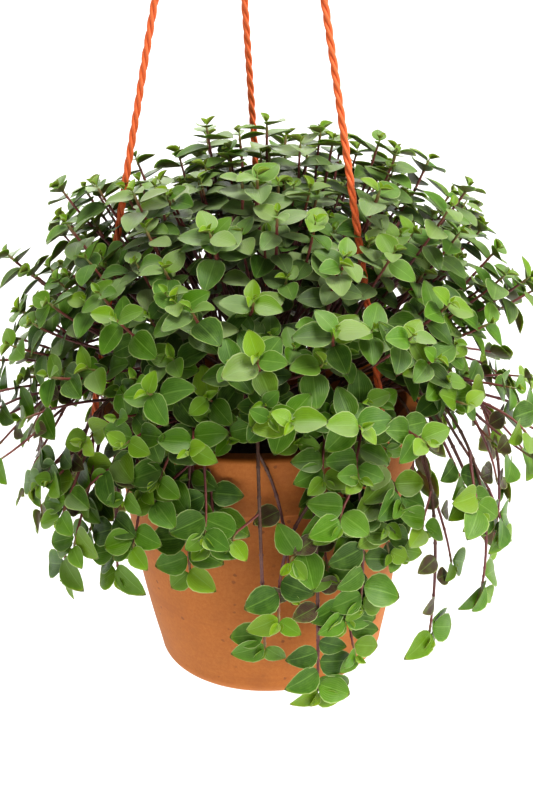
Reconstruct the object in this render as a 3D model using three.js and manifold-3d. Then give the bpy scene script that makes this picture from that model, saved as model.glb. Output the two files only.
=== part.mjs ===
// A turtle vine in a terracotta pot that hangs on three ropes. The collared pot holds potting soil, each rope is
// stopped by a knot inside the collar, and a gather knot with a loop joins the ropes above. Leafy shoots rise,
// spread and trail from plain holes in the soil. Millimetres, +Z up. The origin is the loop's bearing point, the
// underside of its rope at the top; the heights below are measured from the top of the pot's rim.
import * as THREE from "three";
import { mergeVertices } from "three/addons/utils/BufferGeometryUtils.js";
import Module from "manifold-3d";

const wasm = await Module();
wasm.setup();

// Pot
const rimRadius = 110;
const collarHeight = 43;
const collarFootRadius = 103;
const collarWall = 14;
const potHeight = 188;
const bodyTopRadius = 99;
const bodyFootRadius = 76;
const bodyBulge = 0.58; // share of the narrowing that comes late, towards the foot
const footRounding = 12;
const potWall = 8;
const drainRadius = 7;
const potSides = 32;

// Soil
const soilEdge = -24;
const soilCrown = 5;
const seatGap = 0.3;
const holeDepth = 11;
const holeRadius = 3.6;
const holeSides = 4;

// Ropes, with the hole that each one passes through in the collar
const ropeRadius = 2.5;
const ropeHoleRadius = 5.3;
const ropeHoleHeight = -13.6;
const stopKnotRadius = 6.5;
const stopKnotSeat = 4.5; // from the wall to the knot's middle, with the knot drawn against its hole
const gatherKnotFoot = 470.3;
const gatherKnotHeight = 23.7;
const gatherKnotRadius = 11;
const loopHeight = 45;
const hangHeight = gatherKnotFoot + gatherKnotHeight + seatGap + loopHeight - 2 * ropeRadius;

// Plant: the reach of the shoots from the middle of the rim, and the sizes of a shoot and a leaf
const crownCount = 28;
const crownTilt = THREE.MathUtils.degToRad(95);
const crownReach = 187;
const crownTurn = 0.25;
const goldenAngle = THREE.MathUtils.degToRad(137.508);
const crownFootRadius = 62;
const trailFootRadius = 76;
const frontHollow = 26; // how much shorter the shoots are that lean over the front of the rim
const sideLobe = 12; // how much longer they are towards +X
const trailRise = 120;
const trailLean = 8;
const trailOverhang = 24; // how far a hanging shoot swings out beyond its tip
const trailCrest = 20;
const forkSpread = 0.15;
const forkShares = [0.42, 0.58];
const mainHandle = 0.42;
const forkHandle = 0.35;
const stemRadius = 1.25;
const plainStep = 70;
const bendStep = 0.45;
const forkRoot = 5;
const nodeHalf = 1.3;
const budLength = 4;
const leafLength = 17.5;
const leafWidth = 0.7; // of its length
const leafArch = 0.12;
const leafStandoff = 1.8;
const bladeThickness = 0.7;
const clearance = 0.35;
const kinClearance = 0.1;
const grain = 0.001; // cubic millimetres that two bodies may share where they only touch

// Leaves from the tip of a stem down: how far back each grows, from which side, how open and how large it is
const leafFromTip = [2.4, 2.4, 12, 12];
const leafSide = [0, 1.5, 0.75, 2.25];
const leafOpening = [50, 58, 74, 80];
const leafGrowth = [0.84, 0.94, 1.02, 1.08];
const leavesOnStem = [4, 3, 3];
const leafTurns = [0, 0.4, -0.4, 0.8, -0.8, 1.2, -1.2];
const plantSeed = 11;
const leafSeed = 5;

// Sections of a blade before its tip: share of its length and of its half width
const bladeSections = [[0.14, 0.55], [0.25, 0.95], [0.62, 0.82]];

// Trailing shoots: bearing in degrees, distance from the axis and height of the tip below the rim
const trails = [
  [-76, 119, -163], [-92, 117, -128], [-114, 122, -76], [-134, 138, -82], [-149, 153, -90],
  [-161, 186, -8], [-40, 136, -140], [-63, 127, -100], [-33, 164, -108], [-24, 186, -20],
  [173, 162, -92], [147, 150, -120], [121, 172, -58], [94, 133, -136], [68, 160, -84],
  [42, 150, -118], [17, 172, -62], [-4, 158, -112],
];

// Routes of the ropes from the gather knot down to just above the rim
const ropeRoutes = {
  left: [
    [-5, -0.5, 470], [-6, -0.6, 461], [-12.1, -1.1, 445], [-18.3, -1.8, 420], [-23.5, -2.3, 400],
    [-34, -3.3, 360], [-44.1, -4.4, 320], [-54.5, -5.4, 280], [-64, -6.3, 240], [-73, -7.2, 200], [-82, -8.2, 160],
    [-90.5, -9.1, 120], [-98.5, -10, 80], [-106, -11, 40], [-112, -11.7, 10],
  ],
  right: [
    [4, -3.5, 470], [5, -4.2, 461], [11.1, -8.7, 445], [17.1, -13.4, 420], [21.5, -17, 400],
    [29.5, -24.1, 360], [36.6, -31.3, 320], [43.2, -38.3, 280], [48.5, -44.9, 240], [53.4, -51.4, 200], [58.2, -58, 160],
    [63, -64.6, 120], [67.6, -71, 80], [72, -77.6, 40], [75.4, -82.8, 10],
  ],
  back: [
    [-0.5, 5.5, 470], [-0.8, 6.3, 461], [-3.8, 11.3, 445], [-5.3, 17.5, 420], [-5.7, 22.5, 400],
    [-5.7, 32.2, 360], [-4.8, 41.9, 320], [-3.6, 51.6, 280], [-2.3, 60.3, 240], [-1.1, 69.2, 200], [0.1, 78, 160],
    [1.3, 86.9, 120], [2.5, 95.5, 80], [3.4, 104.4, 40], [3.9, 111.8, 10],
  ],
};

// The last stretch of every rope, over the rim and in through the collar: distance from the axis and height
const ropeEntry = [[114.2, -1.2], [113.6, -6.4], [110.4, -10.7], [105.2, -13.3]];

const colours = {
  clay: 0xc9814f,
  soil: 0x3a2a20,
  rope: 0xd9592b,
  leaf: 0x5b8f4a,
};

// Random numbers from 0 to 1, the same in every run
function randomStream(seed) {
  let state = seed >>> 0;
  return () => {
    state = (state + 0x6d2b79f5) >>> 0;
    let mixed = Math.imul(state ^ (state >>> 15), state | 1);
    mixed ^= mixed + Math.imul(mixed ^ (mixed >>> 7), mixed | 61);
    return ((mixed ^ (mixed >>> 14)) >>> 0) / 4294967296;
  };
}

// A closed geometry as a solid, with its faces turned outwards
function solidOf(geometry) {
  const bare = geometry.clone();
  bare.deleteAttribute("normal");
  bare.deleteAttribute("uv");
  const merged = mergeVertices(bare, 1e-4);
  const vertProperties = new Float32Array(merged.attributes.position.array);
  const triVerts = new Uint32Array(merged.index.array);
  const build = () => new wasm.Manifold(new wasm.Mesh({ numProp: 3, vertProperties, triVerts }));
  const solid = build();
  if (solid.volume() > 0) return solid;
  for (let i = 0; i < triVerts.length; i += 3) {
    [triVerts[i + 1], triVerts[i + 2]] = [triVerts[i + 2], triVerts[i + 1]];
  }
  return build();
}

// The largest body of a solid, without loose scraps and sealed hollows, as a geometry
function geometryOf(solid) {
  const bodies = solid.decompose();
  const body = bodies.reduce((best, each) => (each.volume() > best.volume() ? each : best));
  const mesh = body.getMesh();
  const geometry = new THREE.BufferGeometry();
  geometry.setAttribute("position", new THREE.BufferAttribute(new Float32Array(mesh.vertProperties), 3));
  geometry.setIndex(new THREE.BufferAttribute(new Uint32Array(mesh.triVerts), 1));
  geometry.computeVertexNormals();
  return geometry;
}

// A round body from [distance from the axis, height] pairs
function turned(profile, sides) {
  const points = profile.map(([r, z]) => new THREE.Vector2(r, z));
  return new THREE.LatheGeometry(points, sides).rotateX(Math.PI / 2);
}

// A tube through the given points, with one ring of its section at each of them
function tubeThrough(points, radius, sides) {
  const path = new THREE.CatmullRomCurve3(points);
  path.getUtoTmapping = (u) => u;
  const section = new THREE.Shape();
  for (let i = 0; i < sides; i++) {
    const angle = (2 * Math.PI * i) / sides;
    section[i ? "lineTo" : "moveTo"](radius * Math.cos(angle), radius * Math.sin(angle));
  }
  section.closePath();
  return new THREE.ExtrudeGeometry(section, { steps: points.length - 1, extrudePath: path });
}

const vector = (x, y, z) => new THREE.Vector3(x, y, z);
const around = (angle, radius, z) => vector(radius * Math.cos(angle), radius * Math.sin(angle), z);

// Radius of the pot's body at a height, narrowing faster towards the foot
function bodyRadius(z) {
  const t = THREE.MathUtils.clamp((-collarHeight - z) / (potHeight - collarHeight), 0, 1);
  return bodyTopRadius + (bodyFootRadius - bodyTopRadius) * ((1 - bodyBulge) * t + bodyBulge * t * t);
}

// Radius of the pot's inside at a height
function insideRadius(z) {
  const t = Math.min(1, -z / (collarHeight + potWall));
  return Math.min(THREE.MathUtils.lerp(rimRadius - collarWall, bodyTopRadius - potWall, t), bodyRadius(z) - potWall);
}

// Heights at which the pot's inside and the soil have a ring
const insideHeights = [-60, -105, -150, potWall - potHeight];

function potSolid() {
  const outside = [[drainRadius, -potHeight]];
  const roundingTop = footRounding - potHeight;
  const flatRadius = bodyRadius(roundingTop) - footRounding;
  for (const angle of [0, 30, 60, 85].map(THREE.MathUtils.degToRad)) {
    const r = flatRadius + footRounding * Math.sin(angle);
    outside.push([r, roundingTop - footRounding * Math.cos(angle)]);
  }
  for (const z of [-150, -120, -85]) outside.push([bodyRadius(z), z]);
  outside.push([bodyTopRadius, -collarHeight - 0.5]);
  outside.push([collarFootRadius - 1, -collarHeight]);
  outside.push([collarFootRadius, 1 - collarHeight]);
  outside.push([rimRadius - 0.3, -2]);
  outside.push([rimRadius - 2, 0]);
  const inside = [[rimRadius - collarWall + 2, 0], [rimRadius - collarWall, -2], [insideRadius(soilEdge), soilEdge]];
  for (const z of insideHeights) inside.push([insideRadius(z), z]);
  inside.push([drainRadius, potWall - potHeight]);
  const profile = [...outside, ...inside, outside[0]];
  let solid = solidOf(turned(profile, potSides));
  for (const bearing of Object.values(ropeRoutes).map(bearingOf)) {
    const bore = new THREE.CylinderGeometry(ropeHoleRadius, ropeHoleRadius, 3 * collarWall, 12);
    bore.rotateZ(Math.PI / 2).rotateZ(bearing);
    const middle = around(bearing, rimRadius - collarWall / 2, ropeHoleHeight);
    bore.translate(middle.x, middle.y, middle.z);
    solid = solid.subtract(solidOf(bore));
  }
  return solid;
}

function soilSolid(feet) {
  const rings = insideHeights.map((z) => [insideRadius(z) - seatGap - 0.1, z]);
  rings[rings.length - 1][1] += seatGap;
  const top = [0, 0.35, 0.7].map((share) => {
    const radius = share * insideRadius(soilEdge);
    return [radius, soilHeight(radius)];
  });
  const edge = [insideRadius(soilEdge) - seatGap - 0.1, soilEdge];
  const foot = [0, potWall - potHeight + seatGap];
  const profile = [foot, ...rings.reverse(), edge, ...top.reverse()];
  let solid = solidOf(turned(profile, potSides));
  for (const stemFoot of feet) {
    const bore = new THREE.CylinderGeometry(holeRadius, holeRadius, 2 * holeDepth, holeSides);
    bore.rotateX(Math.PI / 2).translate(stemFoot.x, stemFoot.y, stemFoot.z + holeDepth - seatGap);
    solid = solid.subtract(solidOf(bore));
  }
  return solid;
}

// Height of the soil at a distance from the axis: a low crown in the middle
function soilHeight(radius) {
  const share = radius / insideRadius(soilEdge);
  return soilEdge + soilCrown * (1 - share * share);
}

// Bearing of a rope's lower end
function bearingOf(route) {
  const [x, y] = route[route.length - 1];
  return Math.atan2(y, x);
}

// Distance from the axis to a stop knot's middle, in front of the wall's facet at its bearing
function stopKnotDistance(bearing) {
  const facet = (2 * Math.PI) / potSides;
  const offset = THREE.MathUtils.euclideanModulo(bearing, facet) - facet / 2;
  return (insideRadius(ropeHoleHeight) * Math.cos(facet / 2)) / Math.cos(offset) - stopKnotSeat;
}

// A rope from the gather knot to the face of its stop knot
function ropeGeometry(route) {
  const bearing = bearingOf(route);
  const knotFace = stopKnotDistance(bearing) + stopKnotRadius + seatGap;
  const points = route.map(([x, y, z]) => vector(x, y, z));
  for (const [radius, z] of [...ropeEntry, [knotFace, ropeHoleHeight]]) points.push(around(bearing, radius, z));
  return tubeThrough(points, ropeRadius, 8);
}

function stopKnotGeometry(route) {
  const bearing = bearingOf(route);
  const centre = around(bearing, stopKnotDistance(bearing), ropeHoleHeight);
  const knot = new THREE.SphereGeometry(stopKnotRadius, 8, 6).rotateZ(bearing - Math.PI / 2);
  return knot.translate(centre.x, centre.y, centre.z);
}

function gatherKnotGeometry() {
  const profile = [[0, 0]];
  for (const [share, width] of [[0, 0.8], [0.12, 0.95], [0.5, 1], [0.88, 0.95], [1, 0.75]]) {
    profile.push([gatherKnotRadius * width, gatherKnotHeight * share]);
  }
  profile.push([0, gatherKnotHeight]);
  return turned(profile, 14).translate(0, 0, gatherKnotFoot);
}

function loopGeometry() {
  const foot = gatherKnotFoot + gatherKnotHeight + seatGap;
  const half = [[5, 0], [5.5, 5], [7.6, 11], [11, 19], [12.6, 28], [10.2, 37], [5.6, 42.4]];
  const right = half.map(([x, z]) => vector(x, 0, foot + z));
  const left = half.map(([x, z]) => vector(-x, 0, foot + z)).reverse();
  return tubeThrough([...right, vector(0, 0, foot + loopHeight - ropeRadius), ...left], ropeRadius, 8);
}

// Direction from the middle of the rim at a tilt from upright and a bearing
const heading = (tilt, turn) => around(turn, Math.sin(tilt), Math.cos(tilt));

// Tips of a crown clump: three points near one heading on the dome
function crownTips(index, random) {
  const share = (index + 0.5) / crownCount;
  const tilt = Math.acos(1 - share * (1 - Math.cos(crownTilt)));
  const turn = crownTurn + index * goldenAngle;
  const spin = 2 * Math.PI * random();
  return [1, 0.95, 0.88].map((reach, fork) => {
    const angle = spin + (fork * 2 * Math.PI) / 3;
    const tipTilt = Math.abs(tilt + forkSpread * Math.cos(angle));
    const tipTurn = turn + (forkSpread * Math.sin(angle)) / Math.max(Math.sin(tilt), 0.35);
    const front = Math.max(0, -Math.sin(tipTurn)) * Math.sin(tipTilt) ** 3;
    const lobe = Math.max(0, Math.cos(tipTurn)) * Math.max(0, Math.sin(2 * tipTilt));
    const length = (crownReach - frontHollow * front + sideLobe * lobe) * reach * (0.97 + 0.06 * random());
    const tip = heading(tipTilt, tipTurn).multiplyScalar(length);
    const droop = THREE.MathUtils.smoothstep(tipTilt, 1, 1.6);
    const direction = heading(tipTilt, tipTurn).add(vector(0, 0, 0.35 - 0.8 * droop)).normalize();
    return { tip, direction };
  });
}

// Tips of a trailing clump: one that hangs lowest and two above it, to its sides
function trailTips([bearing, distance, drop]) {
  return [[0, 0, 1], [8, 6, 0.68], [-8, 10, 0.38]].map(([side, out, fall]) => {
    const turn = THREE.MathUtils.degToRad(bearing + side);
    const tip = around(turn, distance + out, drop * fall);
    const level = THREE.MathUtils.clamp(1 + drop / 110, 0, 1);
    const direction = around(turn, 0.12 + 0.88 * level, 0.7 * level - 1).normalize();
    return { tip, direction, turn, level };
  });
}

// The main stem of a trailing clump: up from its foot, over the rim without touching it, and down to its tip
function trailCurve(foot, bearing, { tip, turn, level }) {
  const rising = around(bearing, trailFootRadius + trailLean, foot.z + trailRise);
  const { lerp } = THREE.MathUtils;
  const distance = Math.hypot(tip.x, tip.y) + lerp(trailOverhang, -1.5 * trailOverhang, level);
  const falling = around(turn, distance, lerp(trailCrest, tip.z + 1.5 * trailCrest, level));
  return new THREE.CubicBezierCurve3(foot, rising, falling, tip);
}

// A curve from a point with a starting direction to a tip with its own, both as strong as the share says
function stemCurve(from, start, { tip, direction }, share) {
  const reach = share * from.distanceTo(tip);
  const leave = from.clone().addScaledVector(start, reach);
  return new THREE.CubicBezierCurve3(from, leave, tip.clone().addScaledVector(direction, -reach), tip);
}

// A clump's three stems: the main one from its foot, and two forks that leave it partway up
function clumpStems(mainCurve, tips, random) {
  const main = newStem(mainCurve, holeDepth + 1, leavesOnStem[0], random);
  main.forks = [1, 2].map((fork) => {
    const share = forkShares[fork - 1];
    const from = main.curve.getPointAt(share);
    const along = main.curve.getTangentAt(share);
    const towards = tips[fork].tip.clone().sub(from);
    const aside = towards.addScaledVector(along, -towards.dot(along)).normalize();
    const curve = stemCurve(from, along.addScaledVector(aside, 0.9).normalize(), tips[fork], forkHandle);
    const distance = (1 - share) * main.length;
    main.nodes.push({ distance, growths: [] });
    return { ...newStem(curve, forkRoot, leavesOnStem[fork], random), distance, aside };
  });
  return main;
}

// A stem with the nodes that its leaves grow from, given back from its tip
function newStem(curve, firstStep, leafCount, random) {
  const length = curve.getLength();
  const nodes = [...new Set(leafFromTip.slice(0, leafCount))].map((distance) => ({ distance, growths: [] }));
  return { curve, length, firstStep, leafCount, nodes, spin: 2 * Math.PI * random() };
}

// A foot just above the bottom of its hole in the soil
const footAt = (bearing, radius) => around(bearing, radius, soilHeight(radius) - holeDepth + seatGap);

// Feet, tips and stems of all clumps, crown first
function planClumps() {
  const random = randomStream(plantSeed);
  const clumps = [];
  for (let i = 0; i < crownCount; i++) {
    const bearing = crownTurn + i * goldenAngle;
    const radius = crownFootRadius * Math.sqrt((i + 0.5) / crownCount);
    const name = `leafy_shoot_${String(i + 1).padStart(2, "0")}`;
    const foot = footAt(bearing, radius);
    const tips = crownTips(i, random);
    const curve = stemCurve(foot, vector(0, 0, 1), tips[0], mainHandle);
    clumps.push({ name, foot, main: clumpStems(curve, tips, random) });
  }
  trails.forEach((trail, i) => {
    const name = `trailing_shoot_${String(i + 1).padStart(2, "0")}`;
    const bearing = THREE.MathUtils.degToRad(trail[0]);
    const foot = footAt(bearing, trailFootRadius);
    const tips = trailTips(trail);
    clumps.push({ name, foot, main: clumpStems(trailCurve(foot, bearing, tips[0]), tips, random) });
  });
  return clumps;
}

// Where the light comes from for a leaf at a point: from above, and from outside the plant
function lightAt(point) {
  return point.clone().normalize().multiplyScalar(0.75).add(vector(0, 0, 0.55)).normalize();
}

// A stem's point, its direction, and a level direction across it turned by an angle, back from its tip
function stemFrame({ curve, length, spin }, distance, turn) {
  const share = Math.max(0, 1 - distance / length);
  const along = curve.getTangentAt(share);
  const level = vector(0, 0, 1).cross(curve.getTangentAt(0.5));
  const out = level.addScaledVector(along, -level.dot(along)).normalize();
  return { point: curve.getPointAt(share), along, out: out.applyAxisAngle(along, spin + turn) };
}

const thirdTurn = (2 * Math.PI) / 3;

// Corners of a stem's three-sided section at a distance back from its tip
function stemCorners(stem, distance, spare = 0) {
  return [0, 1, 2].map((corner) => {
    const { point, out } = stemFrame(stem, distance, corner * thirdTurn);
    return point.addScaledVector(out, stemRadius + spare);
  });
}

// The sides of a stem, first the one that looks most nearly in a direction
function sidesTowards(stem, distance, direction) {
  const look = (side) => stemFrame(stem, distance, (side + 0.5) * thirdTurn).out.dot(direction);
  return [0, 1, 2].sort((one, other) => look(other) - look(one));
}

// A leaf's place: its root, its own direction, its upper side and its length. On an upright stem leaves stand
// all round, and on a stem that lies across the light they spread to both sides of it and face the light.
function leafPlace(stem, rank, turn, random) {
  const { point, along, out } = stemFrame(stem, leafFromTip[rank], (leafSide[rank] + 0.5) * thirdTurn + turn);
  const light = lightAt(point);
  const across = along.clone().cross(light);
  const slant = Math.min(1, across.length());
  const hand = Math.sign(out.dot(across)) || 1;
  out.multiplyScalar(1 - 0.8 * slant * slant).addScaledVector(across, hand * slant);
  out.addScaledVector(along, -out.dot(along)).normalize();
  const open = THREE.MathUtils.degToRad(leafOpening[rank] + 10 * (random() - 0.5));
  const direction = out.clone().multiplyScalar(Math.sin(open)).addScaledVector(along, Math.cos(open));
  const facing = along.clone().multiplyScalar(0.6).addScaledVector(light, 0.8);
  facing.addScaledVector(direction, -facing.dot(direction)).normalize();
  const length = leafLength * leafGrowth[rank] * (0.92 + 0.16 * random());
  const [side] = sidesTowards(stem, leafFromTip[rank], out.addScaledVector(facing, slant));
  const root = point.addScaledVector(facing, leafStandoff * slant);
  return { root, direction, facing, length, side };
}

// Corners of a blade's section at a share of its length: upper left, upper right, lower right, lower left
function bladeCorners({ root, direction, facing, length }, share, halfWidth, spare = 0) {
  const across = facing.clone().cross(direction);
  const middle = root.clone().addScaledVector(direction, share * length);
  middle.addScaledVector(facing, -leafArch * length * share * share);
  const corner = (side, lift) => {
    const aside = side * (halfWidth * leafWidth * length * 0.5 + spare);
    return middle.clone().addScaledVector(across, aside).addScaledVector(facing, lift);
  };
  const lift = bladeThickness / 2 + spare;
  return [corner(1, lift), corner(-1, lift), corner(-1, -lift), corner(1, -lift)];
}

// A surface that grows loop by loop and closes into one body
class Surface {
  positions = [];
  triangles = [];

  add(points) {
    return points.map((point) => this.positions.push(point) - 1);
  }

  // Joins two loops that run the same way round, with the least twist and over the shorter diagonals
  bridge(lower, upper) {
    const step = (i) => Math.round((i * upper.length) / lower.length);
    const far = (a, b) => this.positions[a].distanceTo(this.positions[b]);
    const above = (start, i) => upper[(start + step(i)) % upper.length];
    const twist = (start) => lower.reduce((sum, corner, i) => sum + far(corner, above(start, i)), 0);
    const start = upper.map((_, i) => i).reduce((best, each) => (twist(each) < twist(best) ? each : best));
    lower.forEach((a, i) => {
      const b = lower[(i + 1) % lower.length];
      const [d, c] = [above(start, i), above(start, i + 1)];
      if (c === d) this.triangles.push(a, b, c);
      else if (far(a, c) < far(b, d)) this.triangles.push(a, b, c, a, c, d);
      else this.triangles.push(a, b, d, b, c, d);
    });
  }

  // Joins two sections of a blade with its upper and lower faces split alike
  bridgeBlade([a, b, c, d], [e, f, g, h]) {
    for (const [p, q, r, s] of [[a, b, f, e], [d, h, g, c], [b, c, g, f], [d, a, e, h]]) {
      this.triangles.push(p, q, r, p, r, s);
    }
  }

  // Grows a blade from its first section to its tip, an upper and a lower point
  finishBlade(first, place, spare) {
    let last = first;
    for (const [share, halfWidth] of bladeSections.slice(2)) {
      const next = this.add(bladeCorners(place, share, halfWidth, spare));
      this.bridgeBlade(last, next);
      last = next;
    }
    const [a, b, c, d] = last;
    const [, upper, lower] = this.add(bladeCorners(place, 1, 0, 0));
    this.triangles.push(a, b, upper, c, d, lower, b, c, lower, b, lower, upper, d, a, upper, d, upper, lower);
  }

  geometry() {
    const geometry = new THREE.BufferGeometry().setFromPoints(this.positions);
    geometry.setIndex(this.triangles);
    return geometry;
  }
}

// The outer part of a blade alone, as a closed body for the tests that hold neighbours apart
function bladeSolid(place, spare) {
  const surface = new Surface();
  const root = surface.add(bladeCorners(place, ...bladeSections[0], spare));
  const first = surface.add(bladeCorners(place, ...bladeSections[1], spare));
  surface.triangles.push(root[0], root[3], root[2], root[0], root[2], root[1]);
  surface.bridgeBlade(root, first);
  surface.finishBlade(first, place, spare);
  return solidOf(surface.geometry());
}

// How far a stem turns between two distances from its tip
function bend({ curve, length }, from, to) {
  return curve.getTangentAt(1 - from / length).angleTo(curve.getTangentAt(1 - to / length));
}

// Rings of a stem from its foot to its tip. A ring that closes a node's short length names the node.
function stemRings(stem, nodes = stem.nodes) {
  let last = stem.length - stem.firstStep;
  const rings = [{ distance: last }];
  for (const node of [...nodes].sort((a, b) => b.distance - a.distance)) {
    const low = node.distance + nodeHalf;
    const steps = Math.max(1, Math.round((last - low) / plainStep), Math.ceil(bend(stem, last, low) / bendStep));
    for (let i = 1; i <= steps; i++) rings.push({ distance: last + ((low - last) * i) / steps });
    last = node.distance - nodeHalf;
    rings.push({ distance: last, node });
  }
  return rings;
}

// The corners of one side of a stem between two of its rings
const sideQuad = (low, high, side) => [low[side], low[(side + 1) % 3], high[(side + 1) % 3], high[side]];

// Grows a stem from a loop of its carrier or foot, with its leaves and forks, and ends it in a bud
function growStem(surface, stem, loop, spare = 0) {
  let last = loop;
  for (const { distance, node } of stemRings(stem)) {
    const next = surface.add(stemCorners(stem, distance, spare));
    if (!node) surface.bridge(last, next);
    for (let side = 0; node && side < 3; side++) {
      const quad = sideQuad(last, next, side);
      const growth = node.growths[side];
      if (!growth) surface.triangles.push(quad[0], quad[1], quad[2], quad[0], quad[2], quad[3]);
      else if (growth.curve) growStem(surface, growth, quad);
      else growLeaf(surface, growth, quad);
    }
    last = next;
  }
  const { point, along } = stemFrame(stem, 0, 0);
  const [bud] = surface.add([point.addScaledVector(along, budLength)]);
  surface.triangles.push(last[0], last[1], bud, last[1], last[2], bud, last[2], last[0], bud);
}

function growLeaf(surface, place, quad) {
  const first = surface.add(bladeCorners(place, ...bladeSections[1]));
  surface.bridge(quad, first);
  surface.finishBlade(first, place, 0);
}

// A stem with its leaves and forks as a closed surface, from its foot up
function rootedSurface(stem, spare = 0) {
  const surface = new Surface();
  const foot = surface.add(stemCorners(stem, stem.length, spare));
  surface.triangles.push(foot[0], foot[2], foot[1]);
  growStem(surface, stem, foot, spare);
  return surface.geometry();
}

// A stem without its leaves and forks
const bare = (stem) => ({ ...stem, nodes: stem.nodes.map((node) => ({ ...node, growths: [] })) });

// A bare stem as a closed body, for the tests that hold neighbours apart
const bareSolid = (stem, spare) => solidOf(rootedSurface(bare(stem), spare));

// A leaf or fork from its root on a side of its stem, as a closed body
function growthSolid(stem, distance, side, grow) {
  const surface = new Surface();
  const [low, high] = [nodeHalf, -nodeHalf].map((step) => surface.add(stemCorners(stem, distance + step)));
  const quad = sideQuad(low, high, side);
  surface.triangles.push(quad[0], quad[2], quad[1], quad[0], quad[3], quad[2]);
  grow(surface, quad);
  return solidOf(surface.geometry());
}

// A solid with its box, the clump that it belongs to and the stem in that clump
const kept = (owner, solid, own = "") => ({ owner, own, solid, box: solid.boundingBox() });

// Whether a solid shares no space with the pieces that stand there and that the test counts
function isFree(solid, standing, counts) {
  const box = solid.boundingBox();
  const apart = (other) => [0, 1, 2].some((i) => box.min[i] > other.max[i] || other.min[i] > box.max[i]);
  const clear = (piece) => apart(piece.box) || solid.intersect(piece.solid).volume() < grain;
  return standing.every((piece) => !counts(piece) || clear(piece));
}

// Adds the forks that are clear of their neighbours to their main stems
function growForks(clumps, standing) {
  for (const { name, main } of clumps) standing.push(kept(name, bareSolid(main, 0), "main"));
  for (const { name, main } of clumps) {
    main.forks = main.forks.filter((fork) => {
      const sisters = (piece) => piece.owner === name && piece.own !== "main";
      if (!isFree(bareSolid(fork, clearance), standing, (piece) => piece.owner !== name)) return false;
      if (!isFree(bareSolid(fork, kinClearance), standing, sisters)) return false;
      return growFork(name, main, fork, standing);
    });
  }
}

// Adds a fork on the first side of its main stem from which it clears that stem, and tells whether there is one
function growFork(name, main, fork, standing) {
  const grow = (surface, quad) => growStem(surface, bare(fork), quad);
  const carrier = (piece) => piece.owner === name && piece.own === "main";
  for (const side of sidesTowards(main, fork.distance, fork.aside)) {
    const solid = growthSolid(main, fork.distance, side, grow);
    if (!isFree(solid, standing, carrier)) continue;
    main.nodes.find((node) => node.distance === fork.distance).growths[side] = fork;
    standing.push(kept(name, solid, fork.distance));
    return true;
  }
  return false;
}

// Adds the leaves, rank by rank from the tips, each turned about its stem until it is clear
function growLeaves(clumps, standing) {
  const random = randomStream(leafSeed);
  for (let rank = 0; rank < leafFromTip.length; rank++) {
    for (const { name, main } of clumps) {
      for (const stem of [main, ...main.forks]) {
        if (rank < stem.leafCount) growOneLeaf(name, stem, rank, standing, random);
      }
    }
  }
}

function growOneLeaf(name, stem, rank, standing, random) {
  const own = stem.distance ?? "main";
  const node = stem.nodes.find((each) => each.distance === leafFromTip[rank]);
  for (const turn of leafTurns) {
    const place = leafPlace(stem, rank, turn, random);
    if (node.growths[place.side]) continue;
    const leaf = growthSolid(stem, node.distance, place.side, (surface, quad) => growLeaf(surface, place, quad));
    const sisters = (piece) => piece.owner === name && piece.own !== own;
    if (!isFree(leaf, standing, (piece) => piece.owner === name && piece.own === own)) continue;
    if (!isFree(bladeSolid(place, kinClearance), standing, sisters)) continue;
    if (!isFree(bladeSolid(place, clearance), standing, (piece) => piece.owner !== name)) continue;
    node.growths[place.side] = place;
    standing.push(kept(name, leaf, own));
    return;
  }
}

function mesh(name, geometry, colour, roughness) {
  const material = new THREE.MeshStandardMaterial({ color: colour, roughness, metalness: 0 });
  const part = new THREE.Mesh(geometry, material);
  part.name = name;
  return part;
}

const clumps = planClumps();
const pot = potSolid();
const soil = soilSolid(clumps.map((clump) => clump.foot));
const hangingPot = new THREE.Group();
hangingPot.position.z = -hangHeight;
hangingPot.add(mesh("pot", geometryOf(pot), colours.clay, 0.85));
hangingPot.add(mesh("soil", geometryOf(soil), colours.soil, 1));

const standing = [kept("pot", pot), kept("soil", soil)];
for (const [side, route] of Object.entries(ropeRoutes)) {
  const rope = ropeGeometry(route);
  const knot = stopKnotGeometry(route);
  hangingPot.add(mesh(`rope_${side}`, rope, colours.rope, 0.8));
  hangingPot.add(mesh(`stop_knot_${side}`, knot, colours.rope, 0.8));
  standing.push(kept("rope", solidOf(rope)), kept("knot", solidOf(knot)));
}
hangingPot.add(mesh("gather_knot", gatherKnotGeometry(), colours.rope, 0.8));
hangingPot.add(mesh("hang_loop", loopGeometry(), colours.rope, 0.8));

growForks(clumps, standing);
growLeaves(clumps, standing);
for (const clump of clumps) {
  hangingPot.add(mesh(clump.name, rootedSurface(clump.main), colours.leaf, 0.5));
}

const group = new THREE.Group();
group.add(hangingPot);
export default group;
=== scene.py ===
"""A turtle vine in a terracotta pot that hangs on three twisted ropes, with its stage."""
import math

import bmesh
import bpy
from mathutils import Matrix, Vector, noise


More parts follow.
